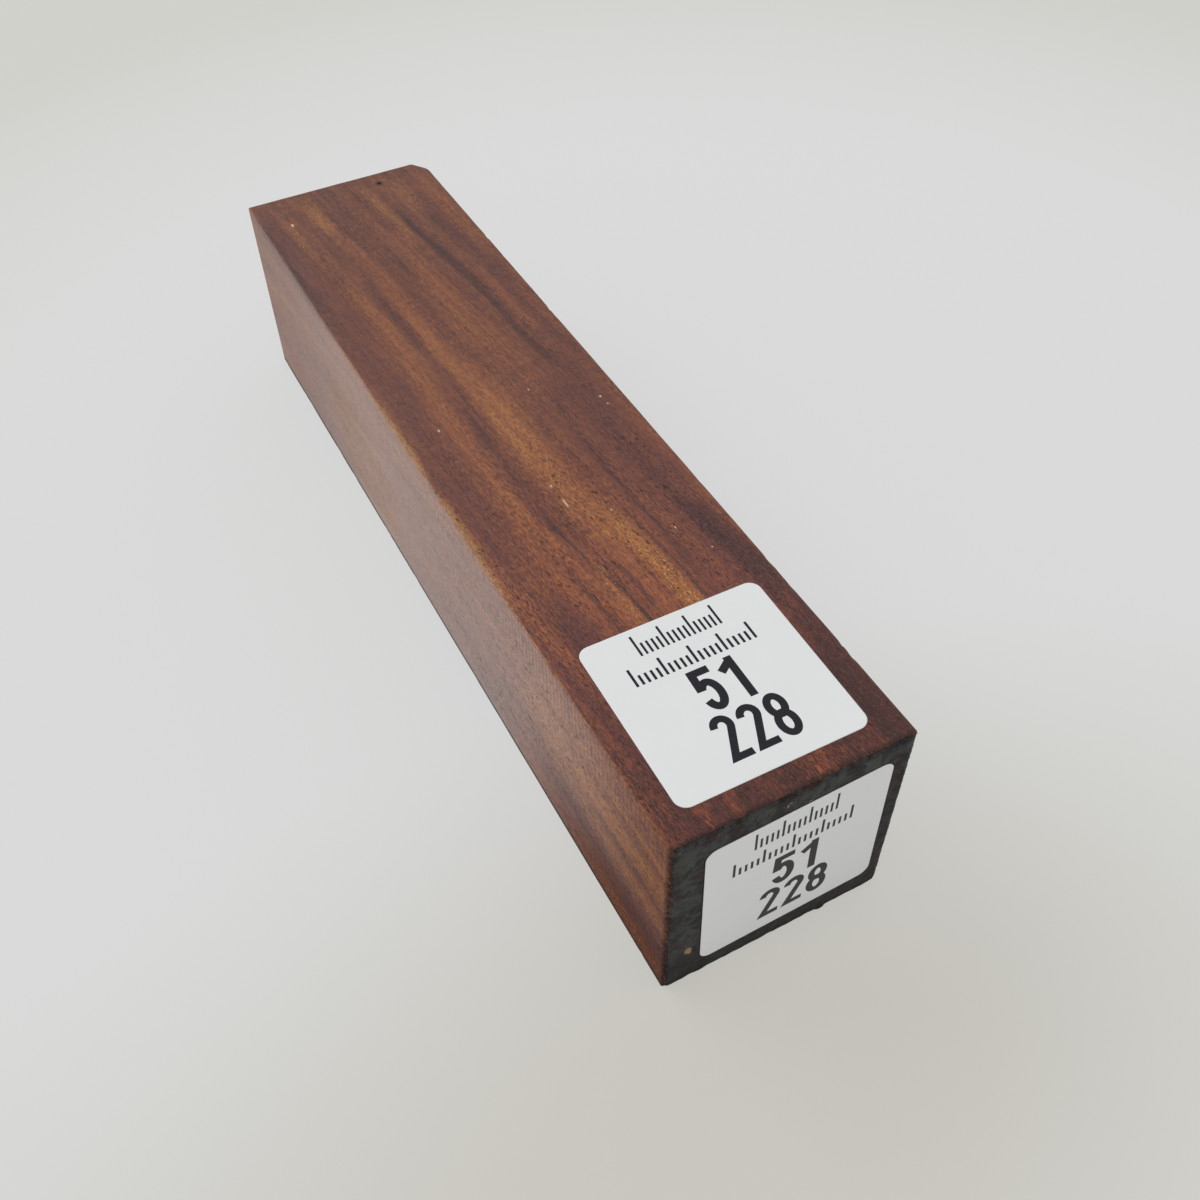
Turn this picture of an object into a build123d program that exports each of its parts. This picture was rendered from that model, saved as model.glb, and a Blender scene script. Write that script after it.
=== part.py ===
from build123d import *

import os
from math import pi, radians, sin, tan

# Wood turning blank: a squared stick of dense dark wood, planed on its four long faces.
# Both sawn ends carry a brushed coat of dark sealer wax, which keeps the end grain from
# drying too fast, and a square paper label is stuck on the top and on the near end.
# The frame's origin is at the middle of the underside. +Y runs along the grain to the far
# end, away from the labelled one, +X is to the right and +Z is up. Sizes are millimetres.

# Stick
wood_width = 51.0
wood_height = 51.0
wood_length = 227.0
arris_round = 0.4

# Corner knocked off the far right top of the stick, as lengths lost along its three arrises
clip_across = 3.3
clip_along = 4.9
clip_down = 16.0

# Blind pin hole in the top face, near the far end
pin_hole_diameter = 1.0
pin_hole_depth = 3.0
pin_hole_tip_angle = 60.0
pin_hole_from_end = 5.5
pin_hole_from_middle = 10.4

# Sealer wax, brushed on both ends and stopping just short of the arrises
coat_thickness = 0.5
coat_margin = 0.2
coat_bottom_margin = 0.05
coat_corner_radius = 0.9
coat_edge_thickness = 0.15
coat_feather_width = 0.7
brush_wave_depth = 0.14
brush_wave_pitch = 9.0
brush_unevenness = 0.35
near_brush_phase = 0.4
far_brush_phase = 2.6

# Drop of wax that ran down the near coat and set against the floor
run_width = 1.8
run_height = 1.5
run_stand_out = 0.4
run_from_middle = 11.3

# Paper labels
label_side = 39.6
label_corner_radius = 2.5
label_thickness = 0.12
top_label_from_end = 25.7
top_label_from_middle = -0.1
top_label_turn = -0.7
end_label_height = 25.4
end_label_from_middle = 1.9
end_label_turn = 1.4

near_wood = -wood_length / 2
far_wood = wood_length / 2
near_face = near_wood - coat_thickness
standing = (Align.CENTER, Align.CENTER, Align.MIN)


def corner_clip():
    """Block on the outer side of the knocked corner's slope, large enough to cut with."""
    corner = Vector(wood_width / 2, far_wood, wood_height)
    across = corner - Vector(clip_across, 0, 0)
    along = corner - Vector(0, clip_along, 0)
    down = corner - Vector(0, 0, clip_down)
    outward = (down - along).cross(across - along)
    slope = Plane(along, x_dir=across - along, z_dir=outward)
    reach = 4 * (clip_across + clip_along + clip_down + coat_thickness)
    return slope * Box(reach, reach, reach, align=standing)


def pin_hole():
    """Hole with a pointed end, as a driven pin leaves it, turned about its own axis."""
    radius = pin_hole_diameter / 2
    point_height = radius / tan(radians(pin_hole_tip_angle / 2))
    section = Polyline(
        (0, 0),
        (radius, 0),
        (radius, point_height - pin_hole_depth),
        (0, -pin_hole_depth),
        close=True,
    )
    hole = revolve(Plane.XZ * make_face(section), Axis.Z)
    return Pos(pin_hole_from_middle, far_wood - pin_hole_from_end, wood_height) * hole


def wood_blank():
    """Squared stick with eased long arrises, its knocked corner and its pin hole."""
    stick = Box(wood_width, wood_length, wood_height, align=standing)
    stick = fillet(stick.edges().filter_by(Axis.Y), arris_round)
    return stick - corner_clip() - pin_hole()


def brushed_side(start, end, phase):
    """One side of a coat's outline, wandering as the brush did and straight at its ends."""
    side = end - start
    outward = Vector(side.Y, -side.X).normalized()
    swings = max(2, 2 * round(side.length / brush_wave_pitch))
    points = []
    for step in range(swings + 1):
        share = step / swings
        depth = brush_wave_depth * (1 - brush_unevenness * (1 + sin(phase + 2 * step)) / 2)
        swing = depth * sin(pi * share) * (-1) ** step
        points.append(start + side * share + outward * swing)
    return Spline(points, tangents=[side, side])


def sealer_coat(seat, phase):
    """Coat of wax on one end: a wavy-edged sheet that thins out towards its rim."""
    inset = coat_margin + brush_wave_depth
    half_width = wood_width / 2 - inset
    bottom = coat_bottom_margin + brush_wave_depth
    top = wood_height - inset
    corners = [
        Vector(-half_width, bottom),
        Vector(half_width, bottom),
        Vector(half_width, top),
        Vector(-half_width, top),
    ]
    outline = []
    for index, corner in enumerate(corners):
        next_corner = corners[(index + 1) % 4]
        along = (next_corner - corner).normalized()
        after = (corners[(index + 2) % 4] - next_corner).normalized()
        start = corner + along * coat_corner_radius
        end = next_corner - along * coat_corner_radius
        turned = next_corner + after * coat_corner_radius
        outline.append(brushed_side(start, end, phase + index))
        outline.append(TangentArc(end, turned, tangent=along))
    coat = extrude(seat * make_face(outline), coat_thickness)
    outer = coat.faces().sort_by(Axis(seat.origin, seat.z_dir))[-1]
    feather_depth = coat_thickness - coat_edge_thickness
    return chamfer(outer.edges(), coat_feather_width, feather_depth, reference=outer)


def wax_run():
    """Quarter of an oval, fat at its flat foot, that stands out of the near coat."""
    depth = coat_thickness + run_stand_out
    oval = scale(Sphere(1), by=(run_width / 2, depth, run_height))
    kept = Box(run_width, depth, run_height, align=(Align.CENTER, Align.MAX, Align.MIN))
    return Pos(run_from_middle, near_wood, coat_bottom_margin) * (oval & kept)


def end_wax_near():
    """Coat on the labelled end, with its run."""
    seat = Plane((0, near_wood, 0), x_dir=(1, 0, 0), z_dir=(0, -1, 0))
    return sealer_coat(seat, near_brush_phase) + wax_run()


def end_wax_far():
    """Coat on the other end, cut back by the knocked corner."""
    seat = Plane((0, far_wood, 0), x_dir=(-1, 0, 0), z_dir=(0, 1, 0))
    return sealer_coat(seat, far_brush_phase) - corner_clip()


def paper_label(seat):
    """Square paper label with rounded corners, lying on its seat."""
    outline = RectangleRounded(label_side, label_side, label_corner_radius)
    return extrude(seat * outline, label_thickness)


def label_top():
    """Label on the top face, beside the near end."""
    place = (top_label_from_middle, near_face + top_label_from_end, wood_height)
    turned = Vector(1, 0, 0).rotate(Axis.Z, top_label_turn)
    return paper_label(Plane(place, x_dir=turned, z_dir=(0, 0, 1)))


def label_end():
    """Label on the near coat."""
    place = (end_label_from_middle, near_face, end_label_height)
    facing = Axis((0, 0, 0), (0, -1, 0))
    turned = Vector(1, 0, 0).rotate(facing, end_label_turn)
    return paper_label(Plane(place, x_dir=turned, z_dir=facing.direction))


pieces = {
    "wood_blank": wood_blank(),
    "end_wax_near": end_wax_near(),
    "end_wax_far": end_wax_far(),
    "label_top": label_top(),
    "label_end": label_end(),
}
os.makedirs("parts", exist_ok=True)
for name, piece in pieces.items():
    export_step(piece, f"parts/{name}.step")
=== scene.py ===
import math
from functools import cached_property
from random import Random

import bpy
import bmesh
from bpy.props import FloatProperty, FloatVectorProperty, IntProperty, PointerProperty
from mathutils import Matrix, Vector, noise


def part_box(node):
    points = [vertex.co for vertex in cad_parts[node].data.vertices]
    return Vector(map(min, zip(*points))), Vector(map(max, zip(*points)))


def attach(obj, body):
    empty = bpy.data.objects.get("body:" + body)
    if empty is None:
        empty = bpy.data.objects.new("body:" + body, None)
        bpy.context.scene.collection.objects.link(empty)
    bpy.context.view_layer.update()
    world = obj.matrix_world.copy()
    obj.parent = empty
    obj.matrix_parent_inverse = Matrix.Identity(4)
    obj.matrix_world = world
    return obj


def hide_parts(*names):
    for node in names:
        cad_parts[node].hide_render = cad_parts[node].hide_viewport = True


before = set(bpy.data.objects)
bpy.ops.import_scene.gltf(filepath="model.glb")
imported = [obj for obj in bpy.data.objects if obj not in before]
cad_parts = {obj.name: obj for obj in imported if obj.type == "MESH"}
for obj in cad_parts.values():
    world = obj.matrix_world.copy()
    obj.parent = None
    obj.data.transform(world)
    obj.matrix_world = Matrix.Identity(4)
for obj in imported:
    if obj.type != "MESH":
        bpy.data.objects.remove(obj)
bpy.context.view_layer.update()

bl_info = {
    "name": "Wood turning blank",
    "version": (1, 0, 0),
    "blender": (4, 5, 0),
    "location": "3D View > Sidebar > Turning blank",
    "description": "Dresses a squared stick of dense hardwood, its waxed ends and its paper labels",
    "category": "Add Mesh",
}

MM = 0.001
STICK_LOW, STICK_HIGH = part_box("wood_blank")
HALF_WIDTH = STICK_HIGH.x
STICK_HEIGHT = STICK_HIGH.z
NEAR_WOOD, FAR_WOOD = STICK_LOW.y, STICK_HIGH.y
COAT_THICKNESS = 0.5 * MM
NEAR_FACE = NEAR_WOOD - COAT_THICKNESS

# Steps round each arris of the stick, round each corner of a label, and across the plain faces
ARRIS_STEPS, LABEL_STEPS, FACE_STEPS = 5, 8, 11

# Colour of the even light from all round
ROOM_COLOUR = (1.0, 0.985, 0.955)

# The knocked corner, as lengths lost across, along and down from the far right top corner
CLIP = Vector((3.3, 4.9, 16.0)) * MM

# Labels as the solids have them: side and corner radius, the middle of each and its turn
LABEL_SIDE, LABEL_CORNER = 39.6 * MM, 2.5 * MM
TOP_LABEL_PLACE = Vector((-0.1 * MM, NEAR_FACE + 25.7 * MM, STICK_HEIGHT))
TOP_LABEL_TURN = math.radians(-0.7)
END_LABEL_PLACE = Vector((1.9 * MM, NEAR_FACE, 25.4 * MM))
END_LABEL_TURN = math.radians(1.4)

# The rings of the tree are circles about a pith outside the stick, below and left of it
PITH_LEFT = 110.0
PITH_BELOW = 10.0

# Millimetres over which a band of the figure fades at its ends, and the range that the bands'
# curves cover: from minus reach to reach along the stick, and from low to high across it
FIGURE_FADE = 14.0
FIGURE_REACH = 120
FIGURE_LOW, FIGURE_HIGH = -55.0, 30.0

# Figure of the wood, by tint. Each band is its half width, its strength, and the places that it
# passes, as (along, across) in millimetres. Across is measured where its ring meets the top face,
# so the bands past the left arris show on the left face and underneath.
FIGURE = {
    "ink": [
        (2.6, 1.10, (-80, 25.2), (-66, 23.2), (-56, 21.4), (-46, 20.2), (-36, 19.6)),
        (1.8, 0.28, (-52, 20.8), (-30, 18.8), (-12, 17.8), (0, 18.4), (14, 17.6)),
        (1.4, 0.80, (2, 18.4), (25, 15.4), (50, 14.4), (66, 12.6), (82, 10.6), (97, 10.6)),
        (0.9, 0.55, (-66, 11.4), (-50, 11.4), (-38, 10.8), (-25, 10.4), (-10, 10.2), (8, 11.0)),
        (0.6, 0.85, (-84, -3.2), (-60, -3.9), (-52, -5.6), (-46, -7.0), (-38, -8.2), (-24, -8.2)),
        (1.0, 0.30, (-30, -8.4), (-20, -8.8), (-8, -8.6), (12, -9.0)),
        (0.8, 0.36, (-12, -7.4), (0, -6.8), (8, -7.0), (20, -6.8), (28, -7.0)),
        (0.5, 0.75, (-84, 0.2), (-60, -0.8), (-52, -2.0), (-44, -2.6)),
        (0.6, 0.65, (-84, -8.6), (-60, -10.0), (-50, -11.0), (-40, -10.6)),
        (1.3, 0.50, (28, -8.2), (40, -8.8), (52, -10.0), (66, -11.4)),
        (1.0, 0.30, (66, -12.0), (80, -12.6), (93, -13.4), (113, -15.4)),
        (0.9, 0.45, (84, -6.8), (94, -7.4), (103, -8.6), (113, -9.0)),
        (0.9, 0.25, (84, -2.3), (95, -3.0), (113, -3.0)),
        (0.8, 0.35, (54, 1.8), (66, 0.8), (78, -1.0)),
        (2.2, 0.62, (-90, -20.4), (-72, -18.6), (-50, -17.6)),
        (0.8, 0.35, (48, 19.4), (60, 20.2), (74, 19.0), (90, 17.0)),
        (0.8, 0.80, (-136, 13.8), (-92, 13.4)),
        (1.3, 0.80, (-136, 24.8), (-66, 25.2)),
        (2.0, 0.50, (-136, 21.4), (-80, 21.8)),
        (1.8, 0.50, (44, -25.4), (84, -25.4), (108, -25.0)),
        (0.5, 0.70, (-84, 10.0), (-62, 9.4), (-46, 8.0), (-34, 6.6)),
        (0.8, 0.20, (-138, -41.0), (-108, -41.1), (-84, -40.9)),
        (1.8, 0.22, (-138, -47.0), (-104, -46.8), (-84, -46.8), (-66, -47.4)),
    ],
    "plum": [
        (2.2, 0.70, (4, 24.4), (18, 23.2), (32, 21.7), (57, 21.0), (80, 18.6), (100, 17.0)),
        (4.6, 0.62, (-50, -21.6), (-20, -20.5), (20, -21.5), (50, -22.0), (78, -22.6)),
        (2.4, 0.28, (-46, -7.6), (-20, -8.4), (5, -8.6), (25, -8.4), (45, -9.5), (78, -11.5)),
        (3.2, 0.95, (-92, -15.4), (-68, -15.0), (-50, -15.6)),
        (3.0, 0.85, (0, -19.2), (30, -18.8), (66, -20.0)),
        (3.4, 0.70, (-50, 21.5), (-10, 21.0), (36, 20.5)),
        (9.0, 0.66, (-84, 18.0), (-50, 16.5), (-20, 14.5), (14, 13.5)),
        (3.6, 0.90, (-136, 25.0), (-95, 24.6), (-64, 25.0)),
        (1.7, 0.85, (-136, -19.2), (-104, -20.4), (-84, -22.6), (-66, -23.8), (-54, -24.2)),
        (1.3, 1.10, (-136, -13.6), (-92, -14.0)),
        (1.8, 1.30, (-136, -6.4), (-92, -7.0)),
        (5.0, 0.80, (46, -22.0), (80, -23.6), (116, -24.0)),
        (3.0, 0.75, (-138, -46.4), (-100, -46.6), (-78, -46.6), (-56, -47.0)),
        (1.6, 0.45, (-138, -34.6), (-100, -34.8), (-70, -35.0)),
    ],
    "orange": [
        (1.3, 0.90, (-136, -16.8), (-92, -17.4)),
        (1.1, 0.85, (-136, -10.9), (-92, -11.2)),
        (2.6, 0.90, (-136, 6.6), (-92, 6.0)),
        (
            2.1, 0.75, (-24, -2.8), (5, -3.4), (20, -4.2), (35, -5.2), (50, -5.9), (70, -6.2),
            (90, -9.2), (113, -11.4),
        ),
        (3.6, 0.95, (-44, -1.0), (-12, -1.6), (5, -2.2), (30, -3.0)),
        (2.4, 0.65, (-44, -13.0), (-20, -12.6), (20, -12.6), (40, -12.6), (55, -14.0), (70, -15.6)),
        (2.1, 0.40, (64, -15.2), (78, -16.6), (90, -17.4), (113, -21.0)),
        (1.3, 0.50, (8, 22.0), (20, 20.2), (35, 18.8), (50, 18.0), (62, 17.2)),
        (3.0, 0.65, (54, 22.5), (76, 22.4), (100, 21.5), (113, 20.0)),
        (3.6, 0.40, (20, 4.0), (50, 5.0), (70, 6.4), (90, 4.6)),
        (1.6, 0.60, (-78, -22.4), (-52, -23.0)),
        (3.2, 0.80, (-82, 0.6), (-60, 1.6), (-44, 0.6), (-22, -0.6)),
        (1.8, 0.60, (-86, -5.6), (-66, -6.4), (-52, -8.8), (-30, -10.6)),
        (2.8, 0.25, (-76, -12.0), (-60, -13.0), (-40, -13.6)),
    ],
    "gold": [
        (2.2, 1.05, (-84, 7.6), (-62, 6.6), (-50, 5.4), (-42, 4.6), (-32, 3.8)),
        (1.3, 0.50, (70, 7.0), (84, 7.7), (96, 6.6), (113, 4.6)),
        (2.2, 0.35, (-30, -3.6), (-8, -3.4), (16, -4.0)),
        (1.4, 0.45, (78, -17.2), (94, -18.6), (108, -20.0)),
        (1.2, 0.75, (-56, -25.2), (-12, -25.2)),
        (1.0, 0.75, (-16, -25.2), (24, -25.2)),
        (1.4, 0.50, (-86, -4.6), (-60, -5.4), (-40, -6.2)),
        (3.0, 0.30, (-52, 0.8), (-20, -0.4), (18, 0.6)),
        (2.4, 0.45, (84, -10.0), (116, -10.5)),
        (2.2, 0.40, (84, 15.5), (116, 14.5)),
        (1.3, 0.55, (-138, -32.0), (-108, -32.0), (-84, -32.4), (-60, -33.0)),
        (3.2, 0.60, (-138, -37.6), (-100, -37.6), (-50, -38.0)),
        (1.5, 0.50, (-138, -43.2), (-96, -43.0), (-56, -42.6)),
        (0.9, 0.35, (-138, -49.9), (-100, -49.8), (-80, -49.6)),
    ],
}

# Pale dust that lies on the top face: (along, across, half length, half width) in millimetres
DUST = [
    (-31.4, -2.7, 1.5, 0.21),
    (-25.3, -3.0, 0.45, 0.24),
    (2.7, -16.8, 0.55, 0.22),
    (-48.6, 13.8, 0.45, 0.16),
    (-57.0, 17.5, 0.25, 0.18),
    (-37.7, 4.8, 0.25, 0.18),
    (-3.9, 20.3, 0.35, 0.30),
    (-6.9, 20.6, 0.30, 0.20),
    (6.2, 7.0, 0.35, 0.18),
    (99.0, -17.8, 0.80, 0.40),
]


# Small helpers


def sizes():
    """The sizes and colours that the panel shows."""
    return bpy.context.scene.turning_blank


def smooth_step(low, high, value):
    """0 below low, 1 above high, and a soft slope between."""
    share = min(1.0, max(0.0, (value - low) / (high - low)))
    return share * share * (3.0 - 2.0 * share)


def wander(*place):
    """Smooth noise from -1 to 1 at a place given by up to three numbers."""
    return noise.noise(Vector((*place, 0.0, 0.0)[:3]))


def new_object(name, mesh):
    """Object at the origin that shows a mesh."""
    piece = bpy.data.objects.new(name, mesh)
    bpy.context.scene.collection.objects.link(piece)
    return piece


def build_mesh(name, vertices, faces):
    """Closed mesh whose faces all point outwards."""
    mesh = bpy.data.meshes.new(name)
    mesh.from_pydata([tuple(v) for v in vertices], [], faces)
    shape = bmesh.new()
    shape.from_mesh(mesh)
    bmesh.ops.recalc_face_normals(shape, faces=shape.faces)
    shape.to_mesh(mesh)
    shape.free()
    if mesh.validate():
        raise RuntimeError(f"{name} has faces that Blender had to mend")
    return mesh


def soften(mesh, sharp_angle):
    """Smooth shading that stays crisp across folds sharper than an angle."""
    mesh.shade_smooth()
    mesh.set_sharp_from_angle(angle=math.radians(sharp_angle))


def made_plain(piece):
    """Puts a piece's finished modifiers into its mesh and takes them off."""
    depsgraph = bpy.context.evaluated_depsgraph_get()
    mesh = bpy.data.meshes.new_from_object(piece.evaluated_get(depsgraph))
    piece.modifiers.clear()
    piece.data = mesh
    return piece


def hand_over(piece, slot, *nodes):
    """Lets a piece ride on the stick and stand for the solids that it dresses."""
    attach(piece, "root")
    if nodes:
        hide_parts(*nodes)


def quarter_turn(start, steps):
    """Cosines and sines along a quarter turn that starts at an angle in degrees."""
    angles = [math.radians(start + 90 * step / steps) for step in range(steps + 1)]
    return [(math.cos(angle), math.sin(angle)) for angle in angles]


def tube_faces(rings, around):
    """Quads between the rings of a tube, each ring joined to the next."""
    faces = []
    for a in range(0, (rings - 1) * around, around):
        for step in range(around):
            after = (step + 1) % around
            faces.append((a + step, a + after, a + around + after, a + around + step))
    return faces


def off_corner(point, roundness):
    """Where a point goes when the knocked corner is pared off, with a soft edge."""
    corner = Vector((HALF_WIDTH, FAR_WOOD, STICK_HEIGHT))
    slope = Vector((1 / CLIP.x, 1 / CLIP.y, 1 / CLIP.z))
    outside = (1.0 - slope.dot(corner - Vector(point))) / slope.length
    if outside <= -roundness:
        return Vector(point)
    if outside < roundness:
        outside = (outside + roundness) ** 2 / (4 * roundness)
    return Vector(point) - slope.normalized() * outside


# Node trees


class Value:
    """What a node puts out, ready for plain arithmetic."""

    def __init__(self, graph, socket):
        self.graph = graph
        self.socket = socket

    def __add__(self, other):
        return self.graph.math("ADD", self, other)

    def __sub__(self, other):
        return self.graph.math("SUBTRACT", self, other)

    def __rsub__(self, other):
        return self.graph.math("SUBTRACT", other, self)

    def __mul__(self, other):
        return Product(self.graph, self, other)

    def __truediv__(self, other):
        return self.graph.math("DIVIDE", self, other)

    def __pow__(self, other):
        return self.graph.math("POWER", self, other)

    def __abs__(self):
        return self.graph.math("ABSOLUTE", self)


class Product(Value):
    """Two values multiplied, in one node with what is added to them."""

    def __init__(self, graph, *factors):
        self.graph = graph
        self.factors = factors

    @cached_property
    def socket(self):
        return self.graph.math("MULTIPLY", *self.factors).socket

    def __add__(self, other):
        return self.graph.math("MULTIPLY_ADD", *self.factors, other)


class Graph:
    """A node tree in the making, with short words for the nodes used most."""

    def __init__(self, tree):
        self.tree = tree

    def node(self, kind, *fed, **settings):
        """New node with its settings, whose first inputs are fed in order."""
        node = self.tree.nodes.new(kind)
        made = len(self.tree.nodes)
        node.location = (190 * (made % 14), -170 * (made // 14))
        for name, value in settings.items():
            setattr(node, name, value)
        for socket, value in zip(node.inputs, fed):
            self.feed(socket, value)
        return node

    def feed(self, socket, value):
        """Links a value to a socket, or sets the socket to a plain one."""
        if isinstance(value, Value):
            value = value.socket
        if isinstance(value, bpy.types.NodeSocket):
            self.tree.links.new(value, socket)
        elif value is not None:
            opaque = socket.type == "RGBA" and len(value) == 3
            socket.default_value = (*value, 1) if opaque else value

    def wire(self, node, **fed):
        """Feeds a node's inputs by their names, in which an underscore stands for a space."""
        for name, value in fed.items():
            self.feed(node.inputs[name.replace("_", " ")], value)

    def values(self, node):
        return {socket.name: Value(self, socket) for socket in node.outputs}

    def math(self, operation, *fed, clamp=False):
        node = self.node("ShaderNodeMath", *fed, operation=operation, use_clamp=clamp)
        return Value(self, node.outputs[0])

    def most(self, a, b):
        return self.math("MAXIMUM", a, b)

    def vector(self, operation, a, b):
        return self.node("ShaderNodeVectorMath", a, b, operation=operation).outputs["Vector"]

    def millimetres(self, place):
        return self.vector("MULTIPLY", place, (1 / MM, 1 / MM, 1 / MM))

    def span(self, value, low, high, to_low=0.0, to_high=1.0, smooth=True):
        """A value's range from low to high, stretched to run from one number to another."""
        kind = "SMOOTHSTEP" if smooth else "LINEAR"
        node = self.node("ShaderNodeMapRange", value, low, high, to_low, to_high, interpolation_type=kind)
        return Value(self, node.outputs[0])

    def blend(self, share, a, b, kind="MIX"):
        node = self.node("ShaderNodeMix", share, data_type="RGBA", blend_type=kind)
        self.feed(node.inputs[6], a)
        self.feed(node.inputs[7], b)
        return Value(self, node.outputs[2])

    def noise(self, place, scale, detail=2.0, roughness=0.5, distortion=0.0):
        node = self.node("ShaderNodeTexNoise", noise_dimensions="3D")
        self.wire(node, Vector=place, Scale=scale, Detail=detail, Roughness=roughness, Distortion=distortion)
        return Value(self, node.outputs[0])

    def point(self, x, y, z):
        return self.node("ShaderNodeCombineXYZ", x, y, z).outputs[0]

    def parts(self, vector):
        return [*self.values(self.node("ShaderNodeSeparateXYZ", vector)).values()]

    def group(self, name, **fed):
        node = self.node("ShaderNodeGroup")
        node.node_tree = bpy.data.node_groups[name]
        self.wire(node, **fed)
        return self.values(node)


def new_group(name, kind, inputs, outputs):
    """Empty node group, as its graph, its inputs and its output sockets. The inputs are given
    by name as their defaults, or as their kind where they have none."""
    kinds = {float: "Float", int: "Int", tuple: "Vector"}
    tree = bpy.data.node_groups.new(name, kind + "NodeTree")
    for words, default in inputs.items():
        plain = isinstance(default, str)
        socket_kind = "NodeSocket" + (default if plain else kinds[type(default)])
        socket = tree.interface.new_socket(words, in_out="INPUT", socket_type=socket_kind)
        if not plain:
            socket.default_value = default
    for words, socket_kind in outputs.items():
        tree.interface.new_socket(words, in_out="OUTPUT", socket_type="NodeSocket" + socket_kind)
    graph = Graph(tree)
    given = graph.values(graph.node("NodeGroupInput"))
    return graph, given, graph.node("NodeGroupOutput").inputs


def group_ring_place():
    """Where a point of the stick lies among the tree's rings, in millimetres.

    Across is the place where the point's ring meets the top face, Along runs with the grain."""
    results = {"Across": "Float", "Along": "Float", "Millimetres": "Vector"}
    graph, given, result = new_group("ring_place", "Shader", {"Place": "Vector"}, results)
    millimetres = graph.millimetres(given["Place"])
    x, y, z = graph.parts(millimetres)
    side = (x + PITH_LEFT) ** 2.0
    rise = (z + PITH_BELOW) ** 2.0
    top = (STICK_HEIGHT / MM + PITH_BELOW) ** 2
    ring = side + rise - top
    across = graph.math("SQRT", graph.most(ring, 1.0)) - PITH_LEFT
    graph.feed(result["Across"], across)
    graph.feed(result["Along"], y)
    graph.feed(result["Millimetres"], millimetres)


def group_streak():
    """One band of the wood's figure: 1 on its line, fading over its width and at its ends."""
    inputs = dict.fromkeys(("Across", "Along", "Line", "Start"), 0.0)
    inputs |= dict.fromkeys(("End", "Width", "Strength"), 1.0)
    graph, given, result = new_group("streak", "Shader", inputs, {"Mask": "Float"})
    off = abs(given["Across"] - given["Line"])
    body = graph.span(off / given["Width"], 0.0, 1.5, 1.0, 0.0)
    first = graph.span(given["Along"] - given["Start"], 0.0, FIGURE_FADE)
    last = graph.span(given["End"] - given["Along"], 0.0, FIGURE_FADE)
    graph.feed(result["Mask"], body * (first * last) * given["Strength"])


def group_specks():
    """Small scattered specks: a share of the cells of a loose grid each hold one."""
    inputs = {"Place": "Vector", "Spacing": (1.0, 1.0, 1.0), "Radius": 0.2, "Share": 0.5}
    graph, given, result = new_group("specks", "Shader", inputs, {"Mask": "Float"})
    place = graph.vector("DIVIDE", given["Place"], given["Spacing"])
    cells = graph.node("ShaderNodeTexVoronoi", voronoi_dimensions="3D", feature="F1")
    graph.wire(cells, Vector=place, Scale=1.0)
    luck = graph.parts(cells.outputs["Color"])
    size = given["Radius"] * graph.span(luck[1], 0.0, 1.0, 0.5, 1.2)
    inner = size * 0.55
    spot = graph.span(cells.outputs["Distance"], inner, size, 1.0, 0.0)
    chosen = graph.math("LESS_THAN", luck[0], given["Share"])
    graph.feed(result["Mask"], spot * chosen)


def group_edge_wear():
    """Handling wear: 1 on the arrises of a square stick, fading raggedly away from them."""
    inputs = {"Place": "Vector", "Reach": 1.0, "Raggedness": 0.6}
    graph, given, result = new_group("edge_wear", "Shader", inputs, {"Mask": "Float"})
    x, _, z = graph.parts(given["Place"])
    half_height = STICK_HEIGHT / MM / 2
    side = HALF_WIDTH / MM - abs(x)
    level = abs(z - half_height)
    rise = half_height - level
    off = graph.most(side, rise)
    stretched = graph.vector("MULTIPLY", given["Place"], (1.0, 0.25, 1.0))
    tear = graph.noise(stretched, 1.6, 3.0, 0.6) - 0.5
    torn = off + tear * given["Raggedness"] * 3.0
    graph.feed(result["Mask"], graph.span(torn / given["Reach"], 0.2, 1.0, 1.0, 0.0))


def group_mottle():
    """Soft uneven colour, as handling, brushing or age leaves it, from -1 to 1."""
    inputs = {"Place": "Vector", "Stretch": (1.0, 1.0, 1.0)}
    graph, given, result = new_group("mottle", "Shader", inputs, {"Value": "Float"})
    place = graph.vector("MULTIPLY", given["Place"], given["Stretch"])
    cloud = graph.noise(place, 1.0, 4.0, 0.55)
    graph.feed(result["Value"], graph.span(cloud, 0.25, 0.75, -1.0, 1.0, smooth=False))


def group_label_gap():
    """Painted shadow of the label's edge on the near end's wax: 1 just outside the paper's edge."""
    graph, given, result = new_group("label_gap", "Shader", {"Place": "Vector"}, {"Mask": "Float"})
    x, _, z = graph.parts(given["Place"])
    a = x - END_LABEL_PLACE.x / MM
    b = z - END_LABEL_PLACE.z / MM
    cosine, sine = math.cos(END_LABEL_TURN), math.sin(END_LABEL_TURN)
    u = a * cosine + b * sine
    v = b * cosine + a * -sine
    corner = LABEL_CORNER / MM
    straight = LABEL_SIDE / MM / 2 - corner
    over_u = graph.most(abs(u) - straight, 0.0)
    over_v = graph.most(abs(v) - straight, 0.0)
    squares = over_u * over_u + over_v * over_v
    off = graph.math("SQRT", squares) - corner
    graph.feed(result["Mask"], graph.span(off, 0.15, 0.5, 1.0, 0.0))


def new_material(name, **constants):
    """Material with its shader, whose plain values are set on the shader's own sockets."""
    material = bpy.data.materials.new(name)
    material.use_nodes = True
    graph = Graph(material.node_tree)
    shader = material.node_tree.nodes["Principled BSDF"]
    graph.wire(shader, **constants)
    place = graph.node("ShaderNodeTexCoord").outputs["Object"]
    return material, graph, shader, place


def bump(graph, shader, height, strength, distance):
    """Fine relief on a shader, from a height between 0 and 1."""
    node = graph.node("ShaderNodeBump")
    graph.wire(node, Strength=strength, Distance=distance, Height=height)
    graph.wire(shader, Normal=node.outputs["Normal"])


# Finishes

FINISHES = {}


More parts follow.
